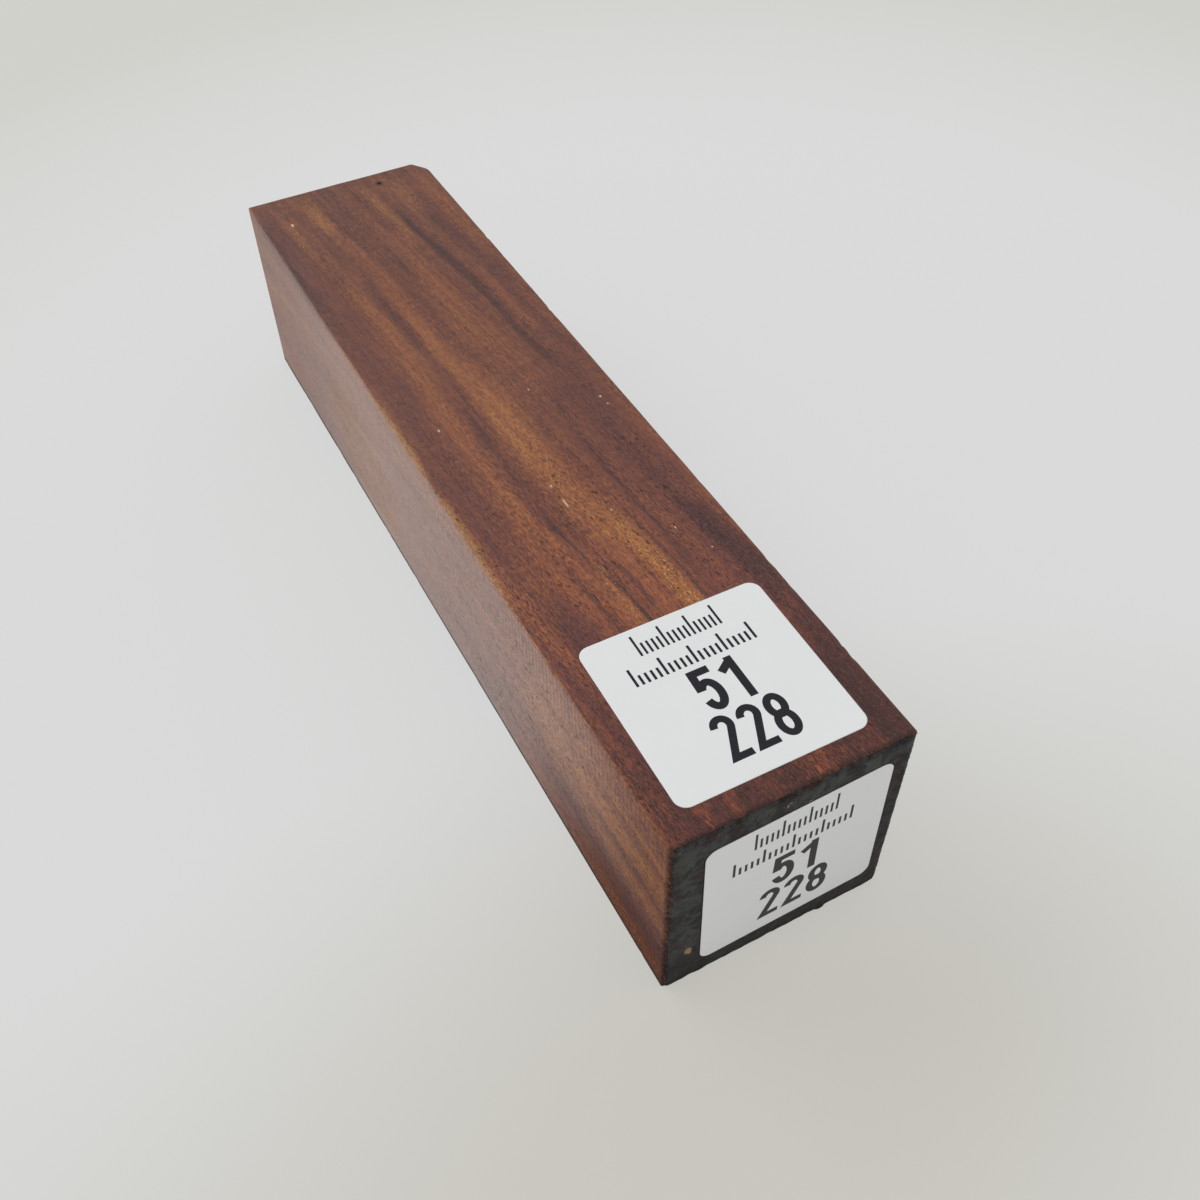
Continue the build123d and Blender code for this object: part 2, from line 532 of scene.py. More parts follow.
def figure_masks(graph, across, along):
    """The strongest band of each tint at each place, as masks by the tint's name."""
    end, breadth = FIGURE_REACH, FIGURE_HIGH - FIGURE_LOW
    share_along = graph.span(along, -end, end, smooth=False)
    masks = dict.fromkeys(FIGURE)
    for tint, bands in FIGURE.items():
        for width, strength, *line in bands:
            course = graph.node("ShaderNodeFloatCurve")
            graph.wire(course, Value=share_along)
            curve = course.mapping.curves[0]
            course.mapping.use_clip = False
            start, stop = line[0], line[-1]
            held = [(-end, start[1]), *line, (end, stop[1])] if start[0] > -end else line
            while len(curve.points) < len(held):
                curve.points.new(0.5, 0.5)
            for point, (y, s) in zip(curve.points, held):
                point.location = ((y + end) / (2 * end), (s - FIGURE_LOW) / breadth)
            course.mapping.update()
            place = Value(graph, course.outputs[0]) * breadth + FIGURE_LOW
            form = {"Start": float(start[0]), "End": float(stop[0]), "Width": width, "Strength": strength}
            mask = graph.group("streak", Across=across, Along=along, Line=place, **form)["Mask"]
            masks[tint] = graph.most(masks[tint], mask) if masks[tint] else mask
    return masks


def dabs(graph, u, v, places):
    """Small soft ovals, each given as (u, v, half length along u, half length along v)."""
    mask = 0.0
    for middle_u, middle_v, half_u, half_v in places:
        off_u = (u - middle_u) / half_u
        off_v = (v - middle_v) / half_v
        squares = off_u * off_u + off_v * off_v
        mask = graph.most(mask, graph.span(squares, 0.5, 1.2, 1.0, 0.0))
    return mask


def hardwood_material():
    """Planed dense wood with a streaky figure, open pores and worn arrises."""
    look = sizes()
    material, graph, shader, place = new_material(
        "planed_hardwood", IOR=1.5, Specular_IOR_Level=0.3, Coat_IOR=1.5, Coat_Roughness=0.24
    )
    ring = graph.group("ring_place", Place=place)
    across, along, spot = ring["Across"], ring["Along"], ring["Millimetres"]
    x, y, z = graph.parts(spot)

    # The left face and the top face
    left_face = graph.span(x, -25.1, -25.42)
    top_face = graph.span(z, 50.5, 50.9)

    # Fibres lean a little against the stick
    lean = y * 0.1 + x
    fibre_place = graph.point(lean, y * 0.07, z)
    sway = graph.noise(fibre_place, 0.1, 2.0) - 0.5
    tear = graph.noise(fibre_place, 0.9, 3.0, 0.6) - 0.5
    short_place = graph.point(lean, y * 0.2, z)
    cloudy = graph.noise(short_place, 3.1, 4.0, 0.74)
    speckle = graph.span(cloudy, 0.34, 0.66)
    grit = cloudy - 0.5
    wavy = sway * 2.0 + across
    ragged = tear * 2.2 + wavy
    ragged = grit * 1.6 + ragged

    # Growth bands, then fibres and grit, as one tone from dark to pale
    band_lean = along * 0.09 + ragged
    band_place = graph.point(band_lean, along * 0.02, 0.0)
    broad = graph.noise(band_place, 0.16, 2.0, 0.5)
    narrow = graph.noise(band_place, 0.65, 3.0, 0.55)
    fibres = graph.noise(fibre_place, 1.7, 3.0, 0.6)
    threads = graph.noise(graph.point(lean, y * 0.08, z), 4.2, 2.0, 0.6)
    chatter = graph.noise(graph.point(x * 0.16, y, z * 0.16), 0.9, 2.0, 0.6)
    tone = (broad - 0.5) * 0.36 + 0.5
    for pattern, share in ((narrow, 0.30), (fibres, 0.26), (threads, 0.52), (chatter, 0.20)):
        tone = (pattern - 0.5) * share + tone

    # The surface is roughest towards the near end and coarser on the left face
    near_share = graph.span(y, 70.0, -50.0, 0.50, 1.0)
    patchy = graph.span(graph.noise(fibre_place, 0.30, 3.0), 0.36, 0.62)
    grit_share = (left_face * 0.25 + near_share) * (patchy * 0.7 + 0.65)
    tone = (speckle - 0.5) * grit_share * 0.27 + tone
    coarse = graph.noise(graph.point(lean, y * 0.6, z), 0.95, 3.0, 0.62) - 0.5
    tone = coarse * left_face * 0.34 + tone

    # The wood darkens towards the near end, and most at its right
    near_end = graph.span(y, -66.0, -113.0) * graph.span(x, -26.0, -14.0, 0.6, 1.0)
    right_side = graph.span(x, 10.0, 24.0) * graph.span(y, -40.0, -80.0)
    tone = near_end * -0.24 + tone
    tone = right_side * -0.1 + tone
    tone = left_face * graph.span(z, 6.0, 46.0, 0.10, 0.19) + tone
    tone = graph.span(y, 30.0, 80.0) * -0.055 + tone

    # Ripples of the planer cross the top of the left face
    ripple = graph.math("SINE", sway * 6.0 + y * (math.tau / (look.planer_pitch / MM)))
    high_ripple = ripple * graph.span(z, 36.0, 45.0)
    # Painted shading: the ripples also lighten and darken the colour of the left face a little
    tone = high_ripple * left_face * 0.05 + tone

    masks = figure_masks(graph, ragged, along)
    broken = graph.span(graph.noise(fibre_place, 0.55, 3.0, 0.6), 0.32, 0.60, 0.55, 1.0)
    broken = broken * (speckle * 0.55 + 0.6)
    for tint, share in (("orange", 0.25), ("gold", 0.24), ("ink", -0.30), ("plum", -0.15)):
        masks[tint] = masks[tint] * broken
        tone = masks[tint] * share + tone

    ramp = graph.node("ShaderNodeValToRGB")
    stops = ramp.color_ramp.elements
    stops[0].position, stops[0].color = 0.10, (*look.wood_ink, 1)
    stops[1].position, stops[1].color = 0.98, (*look.wood_pale, 1)
    for position, colour in ((0.32, look.wood_dark), (0.52, look.wood_body), (0.74, look.wood_orange)):
        stops.new(position).color = (*colour, 1)
    graph.feed(ramp.inputs[0], tone)
    colour = ramp.outputs[0]
    tints = {"plum": (0.55, look.wood_plum), "gold": (0.50, look.wood_gold), "ink": (0.40, look.wood_ink)}
    for tint, (amount, target) in tints.items():
        colour = graph.blend(masks[tint] * amount, colour, target)

    # Painted shade darkens the left face at its near foot, the near end is redder, and painted glints grey
    # the wood
    painted_foot_shade = graph.span(z, 25.0, 2.0) * graph.span(y, -44.0, -108.0)
    painted_foot_shade = graph.most(painted_foot_shade, graph.span(y, -80.0, -112.0, 0.0, 0.34))
    painted_foot_shade = painted_foot_shade * left_face
    colour = graph.blend(painted_foot_shade, colour, (0.52, 0.42, 0.40), "MULTIPLY")
    redder = graph.span(y, 30.0, -112.0) * graph.span(left_face, 0.0, 1.0, 1.0, 0.5)
    colour = graph.blend(redder, colour, (1.15, 0.96, 0.90), "MULTIPLY")
    warm = dabs(graph, y, z, [(39.0, 19.0, 25.0, 19.0)]) * left_face * (patchy * 0.6 + 0.45)
    colour = graph.blend(warm, colour, (1.20, 1.34, 0.95), "MULTIPLY")
    # Painted glints: a pale, slightly blue speckle added to the colour, strongest on the left face and none
    # on its shaded foot
    painted_glints = graph.span(graph.noise(short_place, 3.0, 4.0, 0.74), 0.45, 0.61)
    painted_glints = painted_glints * graph.span(y, -70.0, -108.0, 1.0, 0.35)
    painted_glints_share = near_share * (left_face * 0.7 + 1.0)
    painted_glints_share = painted_glints_share * graph.span(painted_foot_shade, 0.0, 1.0, 0.125, 0.0, smooth=False)
    painted_glints = painted_glints * painted_glints_share
    colour = graph.blend(painted_glints, colour, look.wood_mist, "ADD")

    # Thin dark lines follow the grain, mostly near the label
    line_place = graph.point(tear * 0.9 + band_lean, y * 0.035, 0.0)
    lines = graph.span(graph.noise(line_place, 1.25, 3.0, 0.55), 0.60, 0.70)
    lines = lines * graph.span(graph.noise(fibre_place, 0.42, 2.0), 0.44, 0.58)
    lines = lines * graph.span(y, 40.0, -60.0, 0.3, 0.75)
    lines = lines * graph.span(left_face, 0.0, 1.0, 1.0, 0.35)
    colour = graph.blend(lines, colour, look.wood_ink)

    # Pores are dark dashes along the grain, with pale torn flecks among them
    dash_place = graph.point(tear * 1.6 + lean, y * 0.26, tear * 1.2 + z)
    pores = graph.span(graph.noise(dash_place, 1.9, 2.0, 0.5), 0.59, 0.68)
    fine_pores = graph.span(graph.noise(dash_place, 4.2, 2.0, 0.5), 0.56, 0.66)
    crowd = patchy * 0.8 + 0.2
    crowd = crowd * graph.span(y, -40.0, 10.0, 1.0, 0.45)
    crowd = graph.math("MULTIPLY_ADD", masks["gold"], 0.4, crowd, clamp=True)
    dark_dash = graph.most(pores, fine_pores * 0.8) * crowd
    colour = graph.blend(dark_dash * 0.85, colour, look.wood_pore)
    spots = graph.span(graph.noise(spot, 0.72, 2.0, 0.5), 0.58, 0.68, 0.0, 0.7)
    spots = spots * (left_face * graph.span(y, 10.0, -60.0, 0.2, 1.0))
    colour = graph.blend(spots, colour, look.wood_dark)
    fleck_place = graph.point(lean, y * 0.55, z)
    flecks = graph.span(graph.noise(fleck_place, 3.6, 2.0, 0.5), 0.57, 0.67)
    golden = graph.span(y, -20.0, -60.0, 0.02, 0.10)
    golden = graph.math("MULTIPLY_ADD", masks["gold"], 1.3, golden, clamp=True)
    colour = graph.blend(flecks * golden, colour, look.wood_fleck)

    # Worn left top arris, with a painted shade along the right top arris and a painted contact shadow along
    # the foot
    wear = graph.group("edge_wear", Place=spot, Reach=0.9, Raggedness=0.5)["Mask"]
    colour = graph.blend(wear * 0.12, colour, look.wood_gold)
    scuff = graph.group("edge_wear", Place=spot, Reach=1.5, Raggedness=0.9)["Mask"]
    stretch = graph.span(y, -46.0, -38.0) * graph.span(y, 20.0, 10.0)
    stretch = stretch * graph.span(abs(y + 13.5), 3.0, 9.0, 0.1, 1.0)
    corner_side = graph.math("LESS_THAN", x, 0.0) * graph.math("GREATER_THAN", z, 25.0)
    scuff = scuff * (stretch * corner_side) * graph.span(cloudy, 0.4, 0.58, 0.0, 0.9)
    colour = graph.blend(scuff, colour, look.wood_scuff)
    # Painted shade: a dark line along the right top arris and along the foot of the stick
    painted_arris_shade = graph.span(x, 25.0, 25.4) * graph.span(z, 49.6, 50.6)
    foot = graph.span(z, 2.2, 0.7) * 0.95
    grime = graph.most(painted_arris_shade * 0.6, foot)
    colour = graph.blend(grime, colour, look.wood_pore)
    torn_edge = graph.span(y, -112.2, -113.2) * graph.span(graph.noise(spot, 1.5, 2.0), 0.45, 0.56, 0.4, 1.0)
    colour = graph.blend(torn_edge * 0.8, colour, look.wood_pore)
    pin_x, pin_y = look.pin_hole_across / MM, (FAR_WOOD - look.pin_hole_from_end) / MM
    halo = dabs(graph, x, y, [(pin_x, pin_y, 1.3, 1.5)])
    halo = halo * top_face * 0.65
    colour = graph.blend(halo, colour, look.wood_ink)
    dust = dabs(graph, y, x, DUST) * top_face
    colour = graph.blend(dust * 0.95, colour, look.dust_colour)
    graph.wire(shader, Base_Color=colour)

    uneven = graph.group("mottle", Place=spot, Stretch=(0.10, 0.03, 0.10))["Value"]
    rough = uneven * 0.05 + look.wood_roughness
    rough = grit * 0.3 + rough
    rough = graph.most(painted_foot_shade, foot) * 0.5 + rough
    rough = graph.math("MULTIPLY_ADD", dark_dash, 0.2, rough, clamp=True)
    graph.wire(shader, Roughness=rough)

    # The left face is burnished by the planer, least at the near end and at its foot
    drift = (z - 45.0) * 0.65 + y
    drift = uneven * 6.0 + drift
    polish = graph.span(drift, -120.0, -54.0) * graph.span(y, 20.0, 112.0, 1.0, 0.42)
    rippled = high_ripple * 0.25 + 1.0
    rippled = coarse * 0.8 + rippled
    polish = polish * rippled * look.left_polish
    polish = polish * graph.span(graph.most(dark_dash, foot), 0.0, 1.0, 1.0, 0.4)
    polish = polish * graph.span(warm, 0.0, 1.0, 1.0, 0.7, smooth=False)
    graph.wire(shader, Coat_Weight=polish * left_face)

    # Relief: planer ripples across the grain, fibres and sunk pores
    rippled_spots = graph.span(graph.noise(spot, 0.05, 1.0), 0.40, 0.60, 0.1, 0.9)
    height = ripple * rippled_spots * 0.08
    height = cloudy * 0.9 + height
    height = threads * 0.35 + height
    height = dark_dash * -0.8 + height
    bump(graph, shader, height, 0.55, 0.05 * MM)
    return material


def wax_material():
    """Dark brushed sealer wax, mottled blue-black and purplish brown, with a painted greenish-grey
    sheen on its left and top and a painted shadow round the end label.
    """
    look = sizes()
    material, graph, shader, place = new_material("brushed_wax", IOR=1.45, Specular_IOR_Level=0.20)
    spot = graph.millimetres(place)
    x, y, z = graph.parts(spot)
    down = x * 0.8 + z
    side = z * -0.8 + x
    stroke_place = graph.point(down * 0.22, y, side * 0.7)
    strokes = graph.noise(stroke_place, 0.8, 4.0, 0.6, 0.8)
    mottle = graph.group("mottle", Place=spot, Stretch=(0.26, 0.26, 0.26))["Value"]
    blotch = graph.noise(spot, 0.34, 4.0, 0.62, 0.6)
    thin = graph.span(mottle * 0.16 + blotch, 0.44, 0.6)
    colour = graph.blend(thin, look.wax_colour, look.wax_brown)
    # Painted sheen: greenish-grey patches on the left of the wax and towards its top
    sheen_side = graph.span(mottle * 7.0 + x, -4.0, -22.0)
    high = graph.span(mottle * 3.0 + z, 34.0, 48.0)
    patches = graph.span(graph.noise(spot, 0.21, 3.0, 0.55, 0.5), 0.43, 0.57)
    painted_sheen = graph.most(sheen_side, high) * patches
    colour = graph.blend(painted_sheen, colour, look.wax_grey)
    cold = graph.span(graph.noise(spot, 0.42, 4.0, 0.66, 0.4), 0.49, 0.60, 0.0, 0.75)
    colour = graph.blend(cold, colour, look.wax_blue)
    low_wax = graph.span(z, 19.0, 4.0) * graph.span(x, -10.0, -19.0, 0.42, 0.82)
    streaks = graph.span(graph.noise(spot, 0.7, 4.0, 0.65), 0.46, 0.66, 0.0, 0.66)
    streaks = streaks * graph.span(y, -10.0, 0.0, 1.0, 0.7)
    colour = graph.blend(graph.most(streaks, low_wax), colour, look.wax_dark)
    dust = graph.group("specks", Place=spot, Spacing=(1.6, 1.6, 1.6), Radius=0.11, Share=0.3)["Mask"]
    near_side = graph.span(y, 0.0, -10.0)
    chip = dabs(graph, x, z, [(-20.3, 11.4, 0.85, 1.15), (-20.0, 10.4, 0.5, 0.5)])
    scratch = dabs(graph, x, z, [(-2.0, 47.7, 0.22, 0.55), (-1.5, 48.3, 0.45, 0.16), (3.0, 45.9, 0.5, 0.14)])
    colour = graph.blend(chip * near_side * 0.85, colour, look.wax_chip)
    pale = graph.most(dust * 0.2, scratch * near_side * 0.4)
    colour = graph.blend(pale, colour, look.dust_colour)
    # Painted shadow: a thin dark line just outside the end label's edge
    gap = graph.group("label_gap", Place=spot)["Mask"]
    colour = graph.blend(gap * near_side, colour, look.wax_dark)
    graph.wire(shader, Base_Color=colour)
    rough = graph.math("MULTIPLY_ADD", blotch - 0.5, 0.5, look.wax_roughness, clamp=True)
    graph.wire(shader, Roughness=rough)
    grain = graph.noise(spot, 2.2, 4.0, 0.62)
    height = grain * 0.9 + strokes
    bump(graph, shader, height, 0.7, 0.09 * MM)
    return material


def paper_material():
    """Smooth white label paper with a faint tooth and a little grime."""
    look = sizes()
    material, graph, shader, place = new_material("smooth_paper", IOR=1.45, Specular_IOR_Level=0.35)
    spot = graph.millimetres(place)
    cloud = graph.group("mottle", Place=spot, Stretch=(0.08, 0.08, 0.08))["Value"]
    tooth = graph.noise(spot, 5.0, 3.0, 0.6)
    shade = graph.math("MULTIPLY_ADD", cloud, 0.03, 0.06, clamp=True)
    colour = graph.blend(shade, look.paper_colour, look.paper_shade)
    dust = graph.group("specks", Place=spot, Spacing=(3.4, 3.4, 3.4), Radius=0.05, Share=0.25)["Mask"]
    colour = graph.blend(dust * 0.35, colour, look.wood_pore)
    graph.wire(shader, Base_Color=colour)
    graph.wire(shader, Roughness=tooth * 0.2 + look.paper_roughness)
    bump(graph, shader, tooth, 0.25, 0.02 * MM)
    return material


def ink_material():
    """Printed black that lets a little paper show, with a painted highlight that pales the print
    on the near end.
    """
    look = sizes()
    material, graph, shader, place = new_material("print_ink", IOR=1.45, Specular_IOR_Level=0.2)
    spot = graph.millimetres(place)
    tooth = graph.noise(spot, 6.0, 3.0, 0.6)
    y = graph.parts(spot)[1]
    # Painted highlight: the print on the near end is paler, as glare on it
    painted_end_glare = graph.span(y, NEAR_FACE / MM + 1.0, NEAR_FACE / MM, 0.0, 0.55)
    worn = graph.math("ADD", graph.span(tooth, 0.50, 0.80, 0.0, 0.30), painted_end_glare, clamp=True)
    graph.wire(shader, Base_Color=graph.blend(worn, look.ink_colour, look.ink_worn))
    graph.wire(shader, Roughness=tooth * 0.2 + 0.55)
    bump(graph, shader, tooth, 0.2, 0.02 * MM)
    return material


def finish(maker):
    """The finish that a maker gives, made the first time that a piece asks for it."""
    if maker.__name__ not in FINISHES:
        FINISHES[maker.__name__] = maker()
    return FINISHES[maker.__name__]


# Shapes


def bite(y, chips):
    """How far chips eat into an arris at one place along it."""
    deepest = 0.0
    for middle, half_length, depth in chips:
        off = (y - middle) / half_length
        if abs(off) < 1:
            deepest = max(deepest, depth * (1 - off * off) ** 2)
    return deepest


def arris_chips(look):
    """Chips on the four arrises, from the lower right one round by the top to the lower left."""
    luck = Random(11)
    chips = []
    for _ in range(4):
        some = []
        for _ in range(look.chip_count):
            middle = luck.uniform(NEAR_WOOD, FAR_WOOD)
            some.append((middle, luck.uniform(0.8, 3.5) * MM, luck.uniform(0.08, 0.4) * MM))
        chips.append(some)
    worn = [(-40, 3, 0.5), (-34, 5, 0.8), (-27, 3, 0.6), (-20, 4, 0.5)]
    worn += [(-8, 3, 0.6), (-1, 4, 0.8), (4, 3, 0.7), (10, 3, 0.5), (16, 2, 0.5)]
    chips[2] += [(middle * MM, half * MM, depth * MM) for middle, half, depth in worn]
    return chips


def stick_vertices(look):
    """Rings of points down the stick, closer together near the knocked corner."""
    side_length = 2 * HALF_WIDTH
    below_top = (46, 40, 34, 28, 22, 18, 15, 12.5, 10, 8, 6.2, 4.6, 3.3, 2.2, 1.3, 0.6)
    from_right = (0.5, 1.1, 1.8, 2.6, 3.5, 4.6, 6, 9, 13, 17, 21, 25, 29, 33, 37, 41, 45)
    even = [step / FACE_STEPS for step in range(1, FACE_STEPS)]
    right_side = [1 - d * MM / side_length for d in below_top]
    shares = [right_side, [d * MM / side_length for d in from_right], even, even]
    turns = ((1, 0, -90), (1, 1, 0), (-1, 1, 90), (-1, 0, 180))
    chips = arris_chips(look)
    rows = max(2, round((FAR_WOOD - NEAR_WOOD) / look.row_pitch))
    ends = [(0.0, 0.22 * MM), (0.12 * MM, 0.07 * MM), (0.3 * MM, 0.0)]
    places = [(NEAR_WOOD + d, inset) for d, inset in ends]
    places += [(NEAR_WOOD + (FAR_WOOD - NEAR_WOOD) * row / rows, 0.0) for row in range(1, rows)]
    places += [(FAR_WOOD - d, inset) for d, inset in reversed(ends)]
    rings = []
    for y, inset in places:
        arcs = []
        for arris, (right, up, start) in enumerate(turns):
            swell = wander(arris * 7.3, y / MM / 9.0)
            radius = look.arris_round * (0.85 + 0.3 * swell) + bite(y, chips[arris])
            x, z = right * (HALF_WIDTH - radius), STICK_HEIGHT - radius if up else radius
            arcs.append([(x + radius * c, z + radius * s) for c, s in quarter_turn(start, ARRIS_STEPS)])
        ring = []
        for arris, arc in enumerate(arcs):
            ring += arc
            (x, z), after = arc[-1], arcs[(arris + 1) % 4][0]
            for share in shares[arris]:
                ring.append((x + (after[0] - x) * share, z + (after[1] - z) * share))
        rings.append([inset_point(x, z, y, inset) for x, z in ring])
    return rings


def inset_point(x, z, y, inset):
    """A point of an end ring, drawn in by an inset that changes raggedly round the end."""
    if not inset:
        return Vector((x, y, z))
    middle = STICK_HEIGHT / 2
    ragged = inset * (1.0 + 0.8 * wander(x / MM * 0.9, z / MM * 0.9, y / MM))
    share = 1 - ragged / HALF_WIDTH
    return Vector((x * share, y, middle + (z - middle) * share))


def stick_mesh(look):
    """The squared stick: rings joined by quads, with capped ends and a knocked corner."""
    rings = stick_vertices(look)
    middle = STICK_HEIGHT / 2
    for order, y in ((0, NEAR_WOOD), (-1, FAR_WOOD)):
        caps = []
        for inset in (0.5, 1, 1.8, 2.8, 4, 8, 14, 20):
            share = 1 - inset * MM / HALF_WIDTH
            caps.append([Vector((v.x * share, y, middle + (v.z - middle) * share)) for v in rings[order]])
        rings = [*reversed(caps), *rings] if order == 0 else [*rings, *caps]
    around = len(rings[0])
    vertices = [off_corner(v, look.clip_softness) for ring in rings for v in ring]
    faces = tube_faces(len(rings), around)
    for a, y in ((0, NEAR_WOOD), ((len(rings) - 1) * around, FAR_WOOD)):
        tip = len(vertices)
        vertices.append(Vector((0, y, middle)))
        faces += [(a + step, a + (step + 1) % around, tip) for step in range(around)]
    return build_mesh("stick", vertices, faces)


def pin_mesh(look):
    """Pointed cutter for the pin hole, standing a little out of the top face."""
    place = Vector((look.pin_hole_across, FAR_WOOD - look.pin_hole_from_end, STICK_HEIGHT))
    radius = look.pin_hole_diameter / 2
    levels = [(1.0 * MM, radius * 1.9), (0.0, radius * 1.15), (-0.25 * MM, radius)]
    levels.append((radius * 1.73 - look.pin_hole_depth, radius * 0.9))
    around = 20
    vertices = []
    for level, reach in levels:
        for step in range(around):
            angle = math.tau * step / around
            wobble = reach * (1 + 0.10 * wander(math.cos(angle) * 2, math.sin(angle) * 2, 5.0))
            vertices.append(place + Vector((wobble * math.cos(angle), wobble * math.sin(angle), level)))
    vertices.append(place - Vector((0, 0, look.pin_hole_depth)))
    faces = tube_faces(len(levels), around)
    last = (len(levels) - 1) * around
    faces += [(last + step, last + (step + 1) % around, len(vertices) - 1) for step in range(around)]
    faces.append(tuple(range(around)))
    return build_mesh("pin", vertices, faces)


def coat_edge(look, place, side, seed):
    """How far a coat stops short of one side of the end, at one place along that side."""
    margin = look.coat_bottom_margin if side == "bottom" else look.coat_margin
    slow = wander(place / 7.0, seed)
    quick = wander(place / 0.9, seed + 3.1)
    notch = max(0.0, wander(place / 1.7, seed + 7.7) - 0.35) * 1.6
    ragged = {"bottom": 0.35, "top": 0.8, "left": 1.7}.get(side, 1.2)
    size = STICK_HEIGHT / MM
    corner = 0.30 * (math.exp(-place / 0.6) + math.exp(-(size - place) / 0.6))
    return margin / MM * (1 + 0.6 * slow) + ragged * (0.10 * quick + 0.45 * notch) + corner


def label_distance(a, b):
    """How far a point of the near end lies outside the end label, below zero inside it."""
    off = Vector((a - END_LABEL_PLACE.x / MM, b - END_LABEL_PLACE.z / MM))
    off.rotate(Matrix.Rotation(-END_LABEL_TURN, 2))
    half = sizes().label_side / MM / 2
    return max(abs(off.x), abs(off.y)) - half


def coat_height(look, a, b, rim, seed, labelled):
    """Thickness of a coat at one point, in millimetres."""
    full = look.coat_thickness / MM
    body = 0.10 + (full - 0.10) * smooth_step(0.0, 0.8, rim)
    down, side = 0.8 * a + b, a - 0.8 * b
    strokes = 0.050 * wander(down * 0.07, side * 0.62, seed)
    strokes += 0.028 * wander(down * 0.2, side * 1.9, seed + 4)
    pebbles = 0.020 * wander(a * 1.3, b * 1.3, seed + 9)
    bead = 0.30 * math.exp(-((b / 1.1) ** 2)) * (0.6 + 0.7 * wander(a / 2.3, seed + 13))
    relief = strokes + pebbles + bead * smooth_step(0.0, 0.4, rim)
    if labelled:
        relief *= smooth_step(0.1, 1.0, label_distance(a, b))
        off = ((a - look.run_across / MM) / 1.2, b / 1.3)
        swell = 1 - off[0] ** 2 - off[1] ** 2
        if swell > 0:
            body = max(body, 0.30 + 0.34 * math.sqrt(swell))
    return max(0.05, body + relief)


def coat_mesh(name, wood_y, outward, seed, cells, labelled):
    """A brushed coat on one end: a fine grid with a ragged outline, closed at its back."""
    look = sizes()
    size = STICK_HEIGHT / MM
    half = HALF_WIDTH / MM
    steps = [0.5 - 0.5 * math.cos(math.pi * step / cells) for step in range(cells + 1)]
    steps = [0.55 * step / cells + 0.45 * bent for step, bent in enumerate(steps)]
    vertices = []
    back = wood_y - outward * 0.03 * MM
    for v in steps:
        for u in steps:
            across, up = u * size, v * size
            left = coat_edge(look, up, "left", seed)
            right = coat_edge(look, up, "right", seed + 20)
            low = coat_edge(look, across, "bottom", seed + 40)
            high = coat_edge(look, across, "top", seed + 60)
            a = -half + left + (size - left - right) * u
            b = low + (size - low - high) * v
            rim = min(u * size, (1 - u) * size, v * size, (1 - v) * size)
            height = coat_height(look, a, b, rim, seed, labelled)
            vertices.append(off_corner(Vector((a * MM, wood_y + outward * height * MM, b * MM)), 0.3 * MM))
    count = cells + 1
    faces = []
    for row in range(cells):
        for column in range(cells):
            a = row * count + column
            faces.append((a, a + 1, a + count + 1, a + count))
    rim_line = list(range(cells)) + [count * row + cells for row in range(cells)]
    rim_line += [count * count - 1 - step for step in range(cells)]
    rim_line += [count * (cells - row) for row in range(cells)]
    first = len(vertices)
    for index in rim_line:
        vertices.append(Vector((vertices[index].x, back, vertices[index].z)))
    middle = len(vertices)
    vertices.append(Vector((0, back, STICK_HEIGHT / 2)))
    for step, index in enumerate(rim_line):
        after = (step + 1) % len(rim_line)
        faces.append((index, rim_line[after], first + after, first + step))
        faces.append((first + step, first + after, middle))
    return build_mesh(name, vertices, faces)


def label_mesh(name, seat, look):
    """Square of paper with rounded corners and a cut edge that is turned down a little."""
    half = look.label_side / 2
    radius = look.label_corner
    middle = half - radius
    rim = []
    for right, up, start in ((1, 1, 0), (-1, 1, 90), (-1, -1, 180), (1, -1, 270)):
        rim += [(right * middle, up * middle, c, s) for c, s in quarter_turn(start, LABEL_STEPS)]
    full = look.label_thickness
    layers = ((0.0, 0.0), (0.0, full * 0.7), (0.04 * MM, full * 0.97), (0.25 * MM, full), (1.0 * MM, full))
    vertices = []
    for inset, level in layers:
        reach = radius - inset
        vertices += [seat @ Vector((x + reach * c, y + reach * s, level)) for x, y, c, s in rim]
    around = len(rim)
    last = (len(layers) - 1) * around
    faces = [tuple(range(around)), tuple(range(last, last + around)), *tube_faces(len(layers), around)]
    return build_mesh(name, vertices, faces)


def arc_points(middle, reach, first, last):
    """Points along part of an oval, from one angle to another in degrees."""
    count = max(3, round(abs(last - first) / 12))
    angles = [math.radians(first + (last - first) * step / count) for step in range(count + 1)]
    return [(middle[0] + reach[0] * math.cos(a), middle[1] + reach[1] * math.sin(a)) for a in angles]


def digit_strokes(digit, width, height, pen):
    """Middle lines of the strokes of a condensed 1, 2, 5 or 8, drawn with a pen of one width."""
    left, low, high = pen / 2, pen / 2, height - pen / 2
    middle, reach = width / 2, width / 2 - pen / 2
    if digit == "1":
        stem = width * 0.62
        flag = [(stem, height - pen * 0.62), (width * 0.08, height * 0.72)]
        return [([(stem, 0.0), (stem, height)], False), (flag, False)]
    if digit == "2":
        line = arc_points((middle, high - reach * 1.1), (reach, reach * 1.1), 180, -28)
        return [(line + [(left + pen * 0.16, low), (width, low)], False)]
    if digit == "5":
        bowl = height * 0.29
        line = [(width * 0.94, high), (left + pen * 0.10, high), (left, height * 0.50)]
        return [(line, False), (arc_points((middle, low + bowl), (reach, bowl), 148, -160), False)]
    upper, lower = height * 0.212, height * 0.232
    loops = ((high - upper, upper, 0.94), (low + lower, lower, 1.0))
    ovals = [arc_points((middle, level), (reach * share, tall), 0, 348) for level, tall, share in loops]
    return [(oval, True) for oval in ovals]


